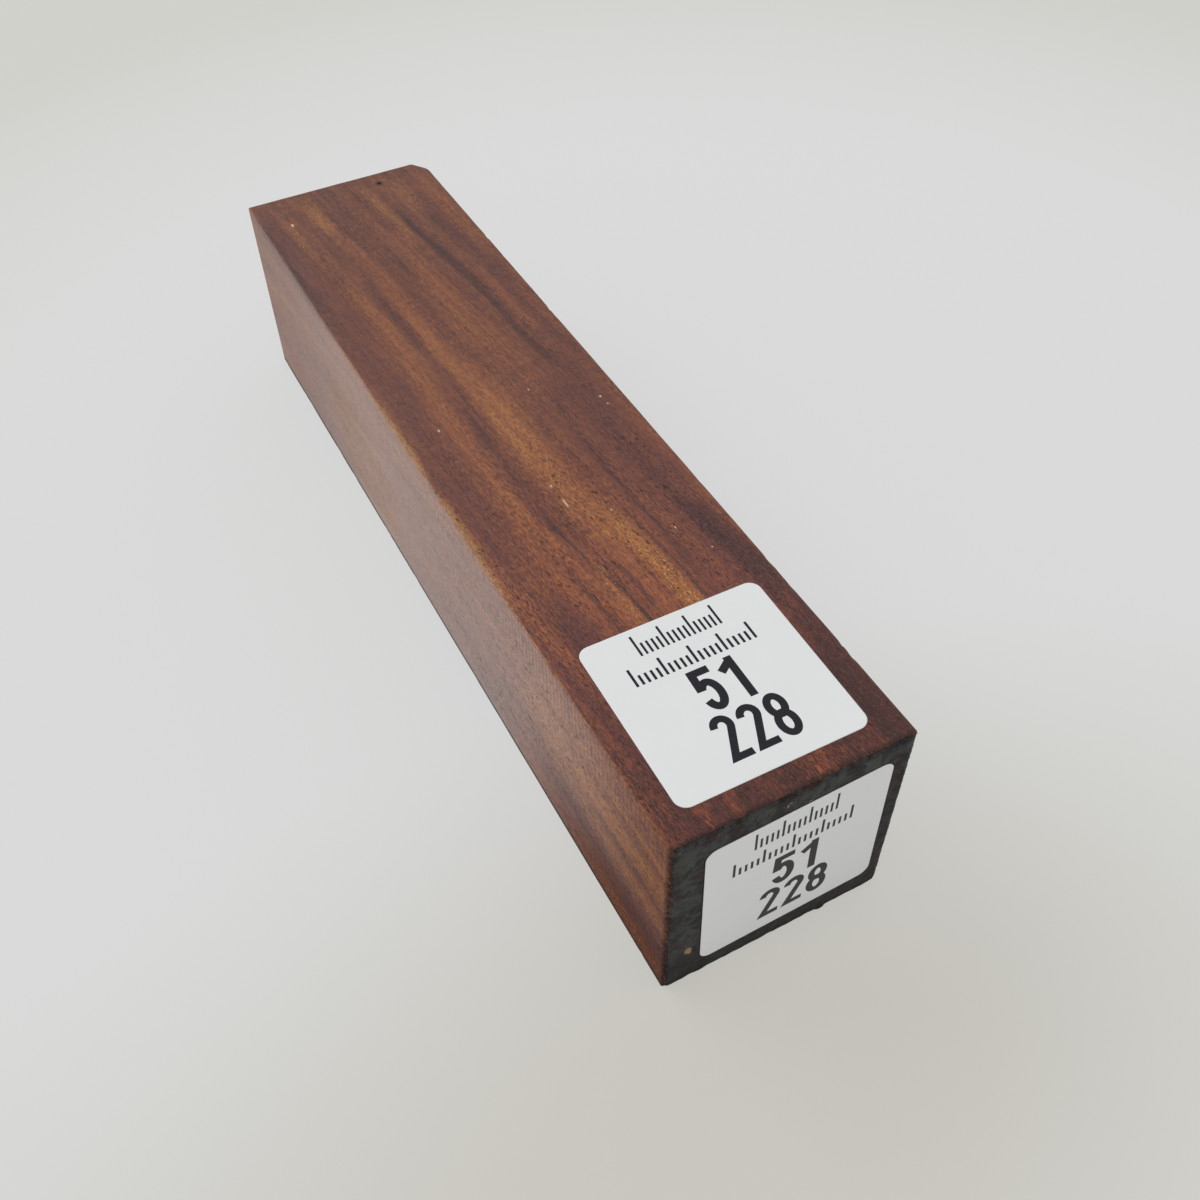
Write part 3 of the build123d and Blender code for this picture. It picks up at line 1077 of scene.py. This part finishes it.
def ribbon(line, closed, pen, thickness, lift):
    """Flat band of one width along a line, with pointed corners, as vertices and faces."""
    count = len(line)
    vertices, faces = [], []
    for index, point in enumerate(line):
        here = Vector(point)
        before = Vector(line[index - 1]) if index or closed else None
        after = Vector(line[(index + 1) % count]) if index < count - 1 or closed else None
        ways = [] if before is None else [(here - before).normalized()]
        ways += [] if after is None else [(after - here).normalized()]
        way = sum(ways, Vector((0, 0))).normalized()
        stretch = 1 / max(0.5, way.dot(ways[0]))
        side = Vector((-way.y, way.x)) * (pen / 2 * stretch)
        for level in (-thickness / 2, thickness / 2 + lift):
            vertices += [(*(here + side), level), (*(here - side), level)]
    steps = count if closed else count - 1
    for index in range(steps):
        a, b = 4 * index, 4 * ((index + 1) % count)
        for u, v in ((0, 1), (1, 3), (3, 2), (2, 0)):
            faces.append((a + u, a + v, b + v, b + u))
    if not closed:
        last = 4 * (count - 1)
        faces += [(0, 1, 3, 2), (last, last + 1, last + 3, last + 2)]
    return vertices, faces


def digits_mesh(text, look, place, size, pen, gap):
    """Plain condensed digits side by side, flat on the paper. Lengths are in millimetres."""
    width, height = size
    vertices, faces = [], []
    for order, digit in enumerate(text):
        shift = place[0] + order * (width + gap)
        for stroke, (line, closed) in enumerate(digit_strokes(digit, width, height, pen)):
            thickness = look.ink_thickness / MM
            points, sides = ribbon(line, closed, pen, thickness, 0.002 * stroke)
            first = len(vertices)
            level = look.label_thickness / MM
            vertices += [Vector((x + shift, y + place[1], z + level)) * MM for x, y, z in points]
            faces += [tuple(first + corner for corner in side) for side in sides]
    return build_mesh("digits", vertices, faces)


# Geometry Nodes


def finish_tree(graph, instances, wear, result):
    """Ends a tree: the instances become real faces that wear their material."""
    real = graph.node("GeometryNodeRealizeInstances", instances)
    dressed = graph.node("GeometryNodeSetMaterial", real.outputs[0])
    graph.wire(dressed, Material=wear)
    graph.feed(result["Geometry"], dressed.outputs[0])


def tree_tick_scale():
    """A plain scale: a row of ticks that stand on one line, every fifth one longer."""
    inputs = {"Ticks": 11, "Pitch": 1.0 * MM, "Short Tick": 2.0 * MM, "Long Tick": 4.0 * MM}
    inputs |= {"Line Width": 0.4 * MM, "Ink Thickness": 0.02 * MM, "Ink": "Material"}
    graph, given, result = new_group("tick_scale", "Geometry", inputs, {"Geometry": "Geometry"})
    row = graph.node("GeometryNodeMeshLine", mode="OFFSET", count_mode="TOTAL")
    graph.wire(row, Count=given["Ticks"], Offset=graph.point(given["Pitch"], 0.0, 0.0))
    index = graph.node("GeometryNodeInputIndex").outputs[0]
    fifth = graph.math("COMPARE", graph.math("MODULO", index, 5.0), 0.0, 0.1)
    extra = fifth * (given["Long Tick"] - given["Short Tick"])
    height = given["Short Tick"] + extra
    tick = graph.node("GeometryNodeMeshCube")
    placed = graph.node("GeometryNodeInstanceOnPoints")
    size = graph.point(given["Line Width"], height, given["Ink Thickness"])
    graph.wire(placed, Points=row.outputs[0], Instance=tick.outputs[0], Scale=size)
    stood = graph.node("GeometryNodeTranslateInstances", placed.outputs[0])
    graph.wire(stood, Translation=graph.point(0.0, height / 2.0, 0.0), Local_Space=False)
    finish_tree(graph, stood.outputs[0], given["Ink"], result)


def tree_slivers():
    """Torn fibres that lie along an arris, thick in the middle and pointed at both ends."""
    inputs = {"Start": (0.0, 0.0, 0.0), "End": (0.0, 0.1, 0.0), "Slivers": 40, "Seed": 3}
    inputs |= {"Shortest": 0.6 * MM, "Longest": 2.4 * MM, "Thickness": 0.14 * MM}
    inputs |= {"Spread": 0.35 * MM, "Jitter Along": 1.6 * MM, "Wood": "Material"}
    graph, given, result = new_group("arris_slivers", "Geometry", inputs, {"Geometry": "Geometry"})
    line = graph.node("GeometryNodeMeshLine", mode="END_POINTS", count_mode="TOTAL")
    graph.wire(line, Count=given["Slivers"], Start_Location=given["Start"], Offset=given["End"])
    jitter = graph.node("FunctionNodeRandomValue", data_type="FLOAT_VECTOR")
    spread = graph.point(given["Spread"], given["Jitter Along"], given["Spread"])
    back = graph.vector("SUBTRACT", (0.0, 0.0, 0.0), spread)
    graph.wire(jitter, Min=back, Max=spread, Seed=given["Seed"])
    moved = graph.node("GeometryNodeSetPosition", line.outputs[0])
    graph.wire(moved, Offset=jitter.outputs[0])
    spindle = graph.node("GeometryNodeMeshIcoSphere")
    graph.wire(spindle, Radius=0.5, Subdivisions=2)
    lengths = graph.node("FunctionNodeRandomValue", data_type="FLOAT")
    sockets = [s for s in lengths.inputs if s.type == "VALUE" and s.enabled]
    graph.feed(sockets[0], given["Shortest"])
    graph.feed(sockets[1], given["Longest"])
    graph.wire(lengths, Seed=given["Seed"])
    long = [s for s in lengths.outputs if s.enabled][0]
    turn = graph.node("FunctionNodeRandomValue", data_type="FLOAT_VECTOR")
    graph.wire(turn, Min=(-0.10, -0.6, -0.12), Max=(0.10, 0.6, 0.12))
    size = graph.point(given["Thickness"], long, given["Thickness"] * 0.6)
    placed = graph.node("GeometryNodeInstanceOnPoints")
    graph.wire(placed, Points=moved.outputs[0], Instance=spindle.outputs[0])
    graph.wire(placed, Rotation=turn.outputs[0], Scale=size)
    finish_tree(graph, placed.outputs[0], given["Wood"], result)


def grown(tree, **inputs):
    """Plain mesh that a geometry tree makes from its named inputs."""
    holder = new_object(tree, bpy.data.meshes.new(tree))
    modifier = holder.modifiers.new(tree, "NODES")
    modifier.node_group = bpy.data.node_groups[tree]
    for item in modifier.node_group.interface.items_tree:
        words = item.name.replace(" ", "_")
        if item.in_out == "INPUT" and words in inputs:
            modifier[item.identifier] = inputs[words]
    mesh = made_plain(holder).data
    bpy.data.objects.remove(holder)
    return mesh


def joined(name, meshes):
    """One mesh made of several, in the order given, with their materials kept."""
    shape = bmesh.new()
    finishes = []
    for mesh in meshes:
        start = len(shape.faces)
        shape.from_mesh(mesh)
        shape.faces.ensure_lookup_table()
        own = [material for material in mesh.materials if material] or [None]
        finishes += [material for material in own if material and material not in finishes]
        for face in shape.faces[start:]:
            material = own[min(face.material_index, len(own) - 1)]
            face.material_index = finishes.index(material) if material else 0
    whole = bpy.data.meshes.new(name)
    shape.to_mesh(whole)
    shape.free()
    for material in finishes:
        whole.materials.append(material)
    return whole


# Panel values


def length_value(name, description, millimetres):
    """A length that the panel shows, given in millimetres."""
    return FloatProperty(name=name, description=description, default=millimetres * MM, unit="LENGTH")


def share_value(name, description, default):
    """A share from 0 to 1 that the panel shows."""
    return FloatProperty(name=name, description=description, default=default, subtype="FACTOR")


def colour_value(name, description, *default):
    """A colour that the panel shows."""
    return FloatVectorProperty(name=name, description=description, default=default, subtype="COLOR")


class TurningBlankSettings(bpy.types.PropertyGroup):
    """Sizes and colours of the stick, its coats, its labels and the stage."""

    row_pitch: length_value("Row pitch", "Distance between the stick's rings of points", 0.6)
    arris_round: length_value("Arris round", "Radius of the eased long edges", 0.4)
    chip_count: IntProperty(name="Chips", description="Small chips on each arris", default=16)
    clip_softness: length_value("Corner softness", "How softly the knocked corner meets the faces", 0.45)
    planer_pitch: length_value("Planer pitch", "Distance between the ripples that the planer left", 1.5)
    pin_hole_diameter: length_value("Pin hole", "Diameter of the pin hole", 1.0)
    pin_hole_depth: length_value("Pin hole depth", "Depth of the pin hole", 3.0)
    pin_hole_across: length_value("Pin hole across", "Pin hole's place across the stick", 10.4)
    pin_hole_from_end: length_value("Pin hole from end", "Pin hole's distance from the far end", 5.5)
    coat_thickness: length_value("Coat", "Thickness of the sealer wax", 0.5)
    coat_margin: length_value("Coat margin", "How far the wax stops short of the arrises", 0.28)
    coat_bottom_margin: length_value("Coat foot", "How far the wax stops above the floor", 0.08)
    run_across: length_value("Drop across", "Place of the drop of wax across the near end", 11.3)
    label_side: length_value("Label side", "Side of the square labels", 39.6)
    label_corner: length_value("Label corner", "Radius of the labels' corners", 2.5)
    label_thickness: length_value("Label thickness", "Thickness of the paper and its glue", 0.12)
    ink_thickness: length_value("Ink thickness", "Thickness of the print, half of it in the paper", 0.02)
    wood_roughness: share_value("Wood roughness", "Roughness of the planed wood", 0.50)
    wax_roughness: share_value("Wax roughness", "Roughness of the sealer wax", 0.60)
    paper_roughness: share_value("Paper roughness", "Roughness of the label paper", 0.42)
    wood_ink: colour_value("Ink lines", "Darkest lines of the wood", 0.038, 0.018, 0.018)
    wood_dark: colour_value("Dark wood", "Dark bands of the wood", 0.096, 0.032, 0.025)
    wood_body: colour_value("Body wood", "Most of the wood", 0.190, 0.064, 0.034)
    wood_orange: colour_value("Orange wood", "Light bands of the wood", 0.305, 0.108, 0.041)
    wood_pale: colour_value("Pale wood", "Palest fibres of the wood", 0.440, 0.190, 0.066)
    wood_gold: colour_value("Golden wood", "Golden bands and worn arrises", 0.340, 0.150, 0.032)
    wood_plum: colour_value("Plum wood", "Purple-brown bands of the wood", 0.120, 0.040, 0.038)
    # Also the colour of the painted shade along the foot and the right top arris
    wood_pore: colour_value("Pores", "Open pores and dirt", 0.030, 0.013, 0.010)
    # Painted glints: a pale speckle added to the wood's colour
    wood_mist: colour_value("Fine dust", "What fine dust adds to the wood's colour", 0.195, 0.185, 0.225)
    wood_scuff: colour_value("Scuffed wood", "Bare splintery wood of the scuffed arris", 0.350, 0.180, 0.068)
    wood_fleck: colour_value("Flecks", "Pale torn fibres", 0.560, 0.300, 0.120)
    left_polish: share_value("Left polish", "How strongly the planer burnished the left face", 0.69)
    wax_colour: colour_value("Wax", "Sealer wax", 0.015, 0.015, 0.017)
    # Painted sheen of the wax on its left and top
    wax_grey: colour_value("Grey wax", "Thick wax, slightly green", 0.052, 0.054, 0.049)
    wax_brown: colour_value("Brown wax", "Thin wax that lets the wood through", 0.043, 0.023, 0.023)
    wax_blue: colour_value("Cold wax", "Blue-grey patches of the wax", 0.041, 0.046, 0.055)
    # Also the colour of the painted shadow round the end label
    wax_dark: colour_value("Dark wax", "Dark patches of the wax", 0.006, 0.006, 0.006)
    wax_chip: colour_value("Bare fleck", "Fleck of bare wood in the near wax", 0.330, 0.215, 0.115)
    dust_colour: colour_value("Dust", "Pale dust", 0.600, 0.460, 0.320)
    paper_colour: colour_value("Paper", "Label paper", 0.800, 0.815, 0.835)
    paper_shade: colour_value("Paper shade", "Grime on the paper", 0.560, 0.560, 0.560)
    ink_colour: colour_value("Print", "Printed black", 0.018, 0.018, 0.024)
    # Also the colour of the painted glare on the near end's print
    ink_worn: colour_value("Thin print", "Print where it is thin", 0.075, 0.073, 0.070)
    floor_colour: colour_value("Floor", "Plain pale floor", 0.740, 0.728, 0.690)
    backdrop_colour: colour_value("Backdrop", "The floor's own glow where it is seen", 0.708, 0.716, 0.722)
    backdrop_far: colour_value("Backdrop far", "The same far from the stick", 0.620, 0.620, 0.590)
    # Painted shadow on the floor before the near end
    backdrop_shade: colour_value("Backdrop shade", "The same in front of the near end", 0.562, 0.548, 0.498)
    backdrop_share: share_value("Backdrop share", "How much of the seen floor is its own glow", 0.78)
    room_light: FloatProperty(
        name="Room light", description="Strength of the even light from all round", default=0.72
    )
    window_power: FloatProperty(
        name="Window power", description="Power of the soft lamp behind the stick", default=70.0, unit="POWER"
    )


# Operators


class TURNINGBLANK_OT_groups(bpy.types.Operator):
    """Builds the node groups that the finishes and the repeated shapes share"""

    bl_idname = "turning_blank.groups"
    bl_label = "Node groups"

    def execute(self, context):
        for maker in (group_ring_place, group_streak, group_specks, group_edge_wear):
            maker()
        for maker in (group_mottle, group_label_gap, tree_tick_scale, tree_slivers):
            maker()
        return {"FINISHED"}


class TURNINGBLANK_OT_stick(bpy.types.Operator):
    """Shapes the squared stick, with its worn arrises, knocked corner and pin hole"""

    bl_idname = "turning_blank.stick"
    bl_label = "Stick"

    def execute(self, context):
        look = sizes()
        stick = new_object("stick", stick_mesh(look))
        pin = new_object("pin", pin_mesh(look))
        cut = stick.modifiers.new("pin_hole", "BOOLEAN")
        cut.operation = "DIFFERENCE"
        cut.solver = "EXACT"
        cut.object = pin
        made_plain(stick)
        bpy.data.objects.remove(pin)
        stick.data.materials.clear()
        stick.data.materials.append(finish(hardwood_material))
        soften(stick.data, 35)
        hand_over(stick, "hardwood", "wood_blank")
        return {"FINISHED"}


class TURNINGBLANK_OT_slivers(bpy.types.Operator):
    """Lays torn fibres along the left top arris and the left and top edges of the near end"""

    bl_idname = "turning_blank.slivers"
    bl_label = "Arris slivers"

    def execute(self, context):
        inset = 0.30 * MM
        side, level = -HALF_WIDTH + inset, STICK_HEIGHT - inset
        front = NEAR_WOOD - 0.05 * MM
        rows = (
            ((side, -44 * MM, level), (side, 18 * MM, level), 46, 0.6, 2.4, 0.14, 0.12, 1.6, 3),
            ((side, front, 3.0 * MM), (side, front, level), 115, 0.5, 2.1, 0.28, 0.32, 0.15, 5),
            ((side, front, level), (-side, front, level), 60, 0.4, 1.0, 0.16, 0.20, 0.15, 8),
        )
        meshes = []
        for start, end, count, shortest, longest, thickness, spread, jitter, seed in rows:
            row = grown(
                "arris_slivers",
                Start=start,
                End=end,
                Slivers=count,
                Shortest=shortest * MM,
                Longest=longest * MM,
                Thickness=thickness * MM,
                Spread=spread * MM,
                Jitter_Along=jitter * MM,
                Seed=seed,
                Wood=finish(hardwood_material),
            )
            meshes.append(row)
        slivers = new_object("arris_slivers", joined("arris_slivers", meshes))
        soften(slivers.data, 60)
        hand_over(slivers, "hardwood")
        return {"FINISHED"}


class TURNINGBLANK_OT_coats(bpy.types.Operator):
    """Brushes the dark sealer wax on both ends"""

    bl_idname = "turning_blank.coats"
    bl_label = "Wax coats"

    def execute(self, context):
        near = coat_mesh("near_coat", NEAR_WOOD, outward=-1, seed=2.0, cells=170, labelled=True)
        far = coat_mesh("far_coat", FAR_WOOD, outward=1, seed=31.0, cells=130, labelled=False)
        for mesh, name, node in ((near, "near_coat", "end_wax_near"), (far, "far_coat", "end_wax_far")):
            coat = new_object(name, mesh)
            coat.data.materials.append(finish(wax_material))
            soften(coat.data, 50)
            hand_over(coat, "sealer_wax", node)
        return {"FINISHED"}


def top_seat():
    """Frame of the top label: x across, y along the stick and z up."""
    return Matrix.Translation(TOP_LABEL_PLACE) @ Matrix.Rotation(TOP_LABEL_TURN, 4, "Z")


def end_seat():
    """Frame of the end label: x to the right, y up and z out of the near end."""
    upright = Matrix.Rotation(math.radians(90), 4, "X")
    return Matrix.Translation(END_LABEL_PLACE) @ upright @ Matrix.Rotation(END_LABEL_TURN, 4, "Z")


class TURNINGBLANK_OT_labels(bpy.types.Operator):
    """Sticks the two square paper labels on the top and on the near end"""

    bl_idname = "turning_blank.labels"
    bl_label = "Labels"

    def execute(self, context):
        look = sizes()
        rows = (("top_label", "label_top", top_seat()), ("end_label", "label_end", end_seat()))
        for name, node, seat in rows:
            label = new_object(name, label_mesh(name, seat, look))
            label.data.materials.append(finish(paper_material))
            soften(label.data, 40)
            hand_over(label, "label_paper", node)
        return {"FINISHED"}


class TURNINGBLANK_OT_prints(bpy.types.Operator):
    """Prints two plain scales and the stick's width and length in digits on each label"""

    bl_idname = "turning_blank.prints"
    bl_label = "Prints"

    def execute(self, context):
        look = sizes()
        ink = finish(ink_material)
        width = str(round(2 * HALF_WIDTH / MM))
        length = str(round((FAR_WOOD - NEAR_WOOD + 2 * look.coat_thickness) / MM))
        for name, seat, shift in (("top_print", top_seat(), 0.0), ("end_print", end_seat(), -0.4)):
            meshes = [
                digits_mesh(width, look, place=(-4.4, -4.6), size=(4.9, 10.2), pen=1.65, gap=1.1),
                digits_mesh(length, look, place=(-6.6, -15.6), size=(4.6, 10.2), pen=1.50, gap=0.9),
            ]
            for ticks, pitch, short, long, line, left, bottom in (
                (16, 1.15, 3.0, 5.2, 0.50, -9.0, 13.0),
                (21, 1.27, 2.4, 4.4, 0.55, -13.2, 6.9),
            ):
                scale = grown(
                    "tick_scale",
                    Ticks=ticks,
                    Pitch=pitch * MM,
                    Short_Tick=short * MM,
                    Long_Tick=long * MM,
                    Line_Width=line * MM,
                    Ink_Thickness=look.ink_thickness,
                    Ink=ink,
                )
                scale.transform(Matrix.Translation((left * MM, bottom * MM, look.label_thickness)))
                meshes.append(scale)
            whole = joined(name, meshes)
            whole.transform(seat @ Matrix.Translation((shift * MM, 0, 0)))
            whole.materials.clear()
            whole.materials.append(ink)
            printed = new_object(name, whole)
            for face in whole.polygons:
                face.material_index = 0
            hand_over(printed, "label_paper")
        return {"FINISHED"}


class TURNINGBLANK_OT_stage(bpy.types.Operator):
    """Sets out the pale floor, the soft lamps and the camera"""

    bl_idname = "turning_blank.stage"
    bl_label = "Stage"

    def execute(self, context):
        look = sizes()
        reach = 3.0
        corners = [(-reach, -reach, 0), (reach, -reach, 0), (reach, reach, 0), (-reach, reach, 0)]
        ground = bpy.data.meshes.new("floor")
        ground.from_pydata(corners, [], [(0, 1, 2, 3)])
        floor = new_object("floor", ground)
        floor.data.materials.append(floor_material())
        light_room(look)
        camera_at_photo()
        return {"FINISHED"}


def floor_material():
    """Plain pale floor, with a painted shadow before the near end. Seen straight or mirrored it is
    partly a pale backdrop, so that the stick's shadow stays on it but is as faint as in even daylight."""
    look = sizes()
    material, graph, shader, place = new_material("floor", Roughness=0.8, Specular_IOR_Level=0.2)
    cloud = graph.noise(place, 3.0, 3.0)
    share = graph.span(cloud, 0.3, 0.7, 0.0, 0.04)
    graph.wire(shader, Base_Color=graph.blend(share, look.floor_colour, (0.6, 0.6, 0.6)))
    x, y, _ = graph.parts(place)

    # The floor is darker in an oval before the near end, as a painted shadow; it is dimmer far off, and meets
    # the room
    off_x = (x + 0.028) / 0.105
    off_y = (y + 0.148) / 0.06
    shade = graph.span(graph.math("SQRT", off_x * off_x + off_y * off_y), 1.95, 0.15)
    far_x = x - 0.06
    away = far_x * far_x + y * y
    far = graph.span(away, 0.03, 0.14)
    beyond = graph.span(graph.math("SQRT", away), 0.7, 2.6)
    glow = graph.blend(far, look.backdrop_colour, look.backdrop_far)
    glow = graph.blend(shade, glow, look.backdrop_shade)
    room = tuple(look.room_light * part for part in ROOM_COLOUR)
    backdrop = graph.node("ShaderNodeEmission", graph.blend(beyond, glow, room))
    ray = graph.node("ShaderNodeLightPath").outputs
    mirrored = graph.most(ray["Is Glossy Ray"], ray["Is Transmission Ray"])
    seen = graph.most(ray["Is Camera Ray"], mirrored)
    backdrop_share = graph.span(beyond, 0.0, 1.0, look.backdrop_share, 1.0, smooth=False)
    surfaces = (shader.outputs[0], backdrop.outputs[0])
    mixed = graph.node("ShaderNodeMixShader", seen * backdrop_share, *surfaces)
    graph.feed(material.node_tree.nodes["Material Output"].inputs["Surface"], mixed.outputs[0])
    return material


def area_lamp(name, place, aim, size, power, colour):
    """Large soft lamp that looks at a point."""
    lamp = bpy.data.lights.new(name, "AREA")
    lamp.shape = "RECTANGLE"
    lamp.size, lamp.size_y = size
    lamp.energy = power
    lamp.color = colour
    holder = bpy.data.objects.new(name, lamp)
    holder.location = place
    holder.rotation_euler = (Vector(aim) - Vector(place)).to_track_quat("-Z", "Y").to_euler()
    bpy.context.scene.collection.objects.link(holder)


def light_room(look):
    """Even warm light from all round and a cooler window behind and to the left."""
    world = bpy.data.worlds.new("room")
    bpy.context.scene.world = world
    world.use_nodes = True
    backdrop = world.node_tree.nodes["Background"]
    backdrop.inputs["Color"].default_value = (*ROOM_COLOUR, 1)
    backdrop.inputs["Strength"].default_value = look.room_light
    form = {"size": (3.2, 2.0), "power": look.window_power, "colour": (0.92, 0.97, 1.0)}
    area_lamp("window", place=(-1.8, 2.8, 2.9), aim=(0, 0, 0.02), **form)
    bpy.context.scene.view_settings.view_transform = "Standard"


def camera_at_photo():
    """Camera where the photograph was taken from, found from the stick's corners."""
    place = Vector((-0.0848, -0.2036, 0.2325))
    ahead = Vector((0.30952, 0.59277, -0.74352)).normalized()
    right = Vector((0.88149, -0.47210, -0.00942))
    right = (right - ahead * right.dot(ahead)).normalized()
    up = right.cross(ahead)
    lens = bpy.data.cameras.new("camera")
    lens.sensor_width = 36.0
    lens.lens = 37.65
    lens.clip_start = 0.01
    lens.dof.use_dof = False
    camera = bpy.data.objects.new("camera", lens)
    axes = Matrix((right, up, -ahead)).transposed().to_4x4()
    camera.matrix_world = Matrix.Translation(place) @ axes
    bpy.context.scene.collection.objects.link(camera)
    bpy.context.scene.camera = camera


STEPS = ("groups", "stick", "slivers", "coats", "labels", "prints", "stage")


class TURNINGBLANK_PT_panel(bpy.types.Panel):
    """Sizes, colours and steps of the turning blank"""

    bl_label = "Turning blank"
    bl_idname = "TURNINGBLANK_PT_panel"
    bl_space_type = "VIEW_3D"
    bl_region_type = "UI"
    bl_category = "Turning blank"

    def draw(self, context):
        for step in STEPS:
            self.layout.operator("turning_blank." + step)
        for name in TurningBlankSettings.__annotations__:
            self.layout.prop(context.scene.turning_blank, name)


CLASSES = (
    TurningBlankSettings,
    TURNINGBLANK_OT_groups,
    TURNINGBLANK_OT_stick,
    TURNINGBLANK_OT_slivers,
    TURNINGBLANK_OT_coats,
    TURNINGBLANK_OT_labels,
    TURNINGBLANK_OT_prints,
    TURNINGBLANK_OT_stage,
    TURNINGBLANK_PT_panel,
)


def register():
    for kind in CLASSES:
        bpy.utils.register_class(kind)
    bpy.types.Scene.turning_blank = PointerProperty(type=TurningBlankSettings)


def unregister():
    del bpy.types.Scene.turning_blank
    for kind in reversed(CLASSES):
        bpy.utils.unregister_class(kind)


def main():
    register()
    for step in STEPS:
        getattr(bpy.ops.turning_blank, step)()


if __name__ == "__main__":
    main()
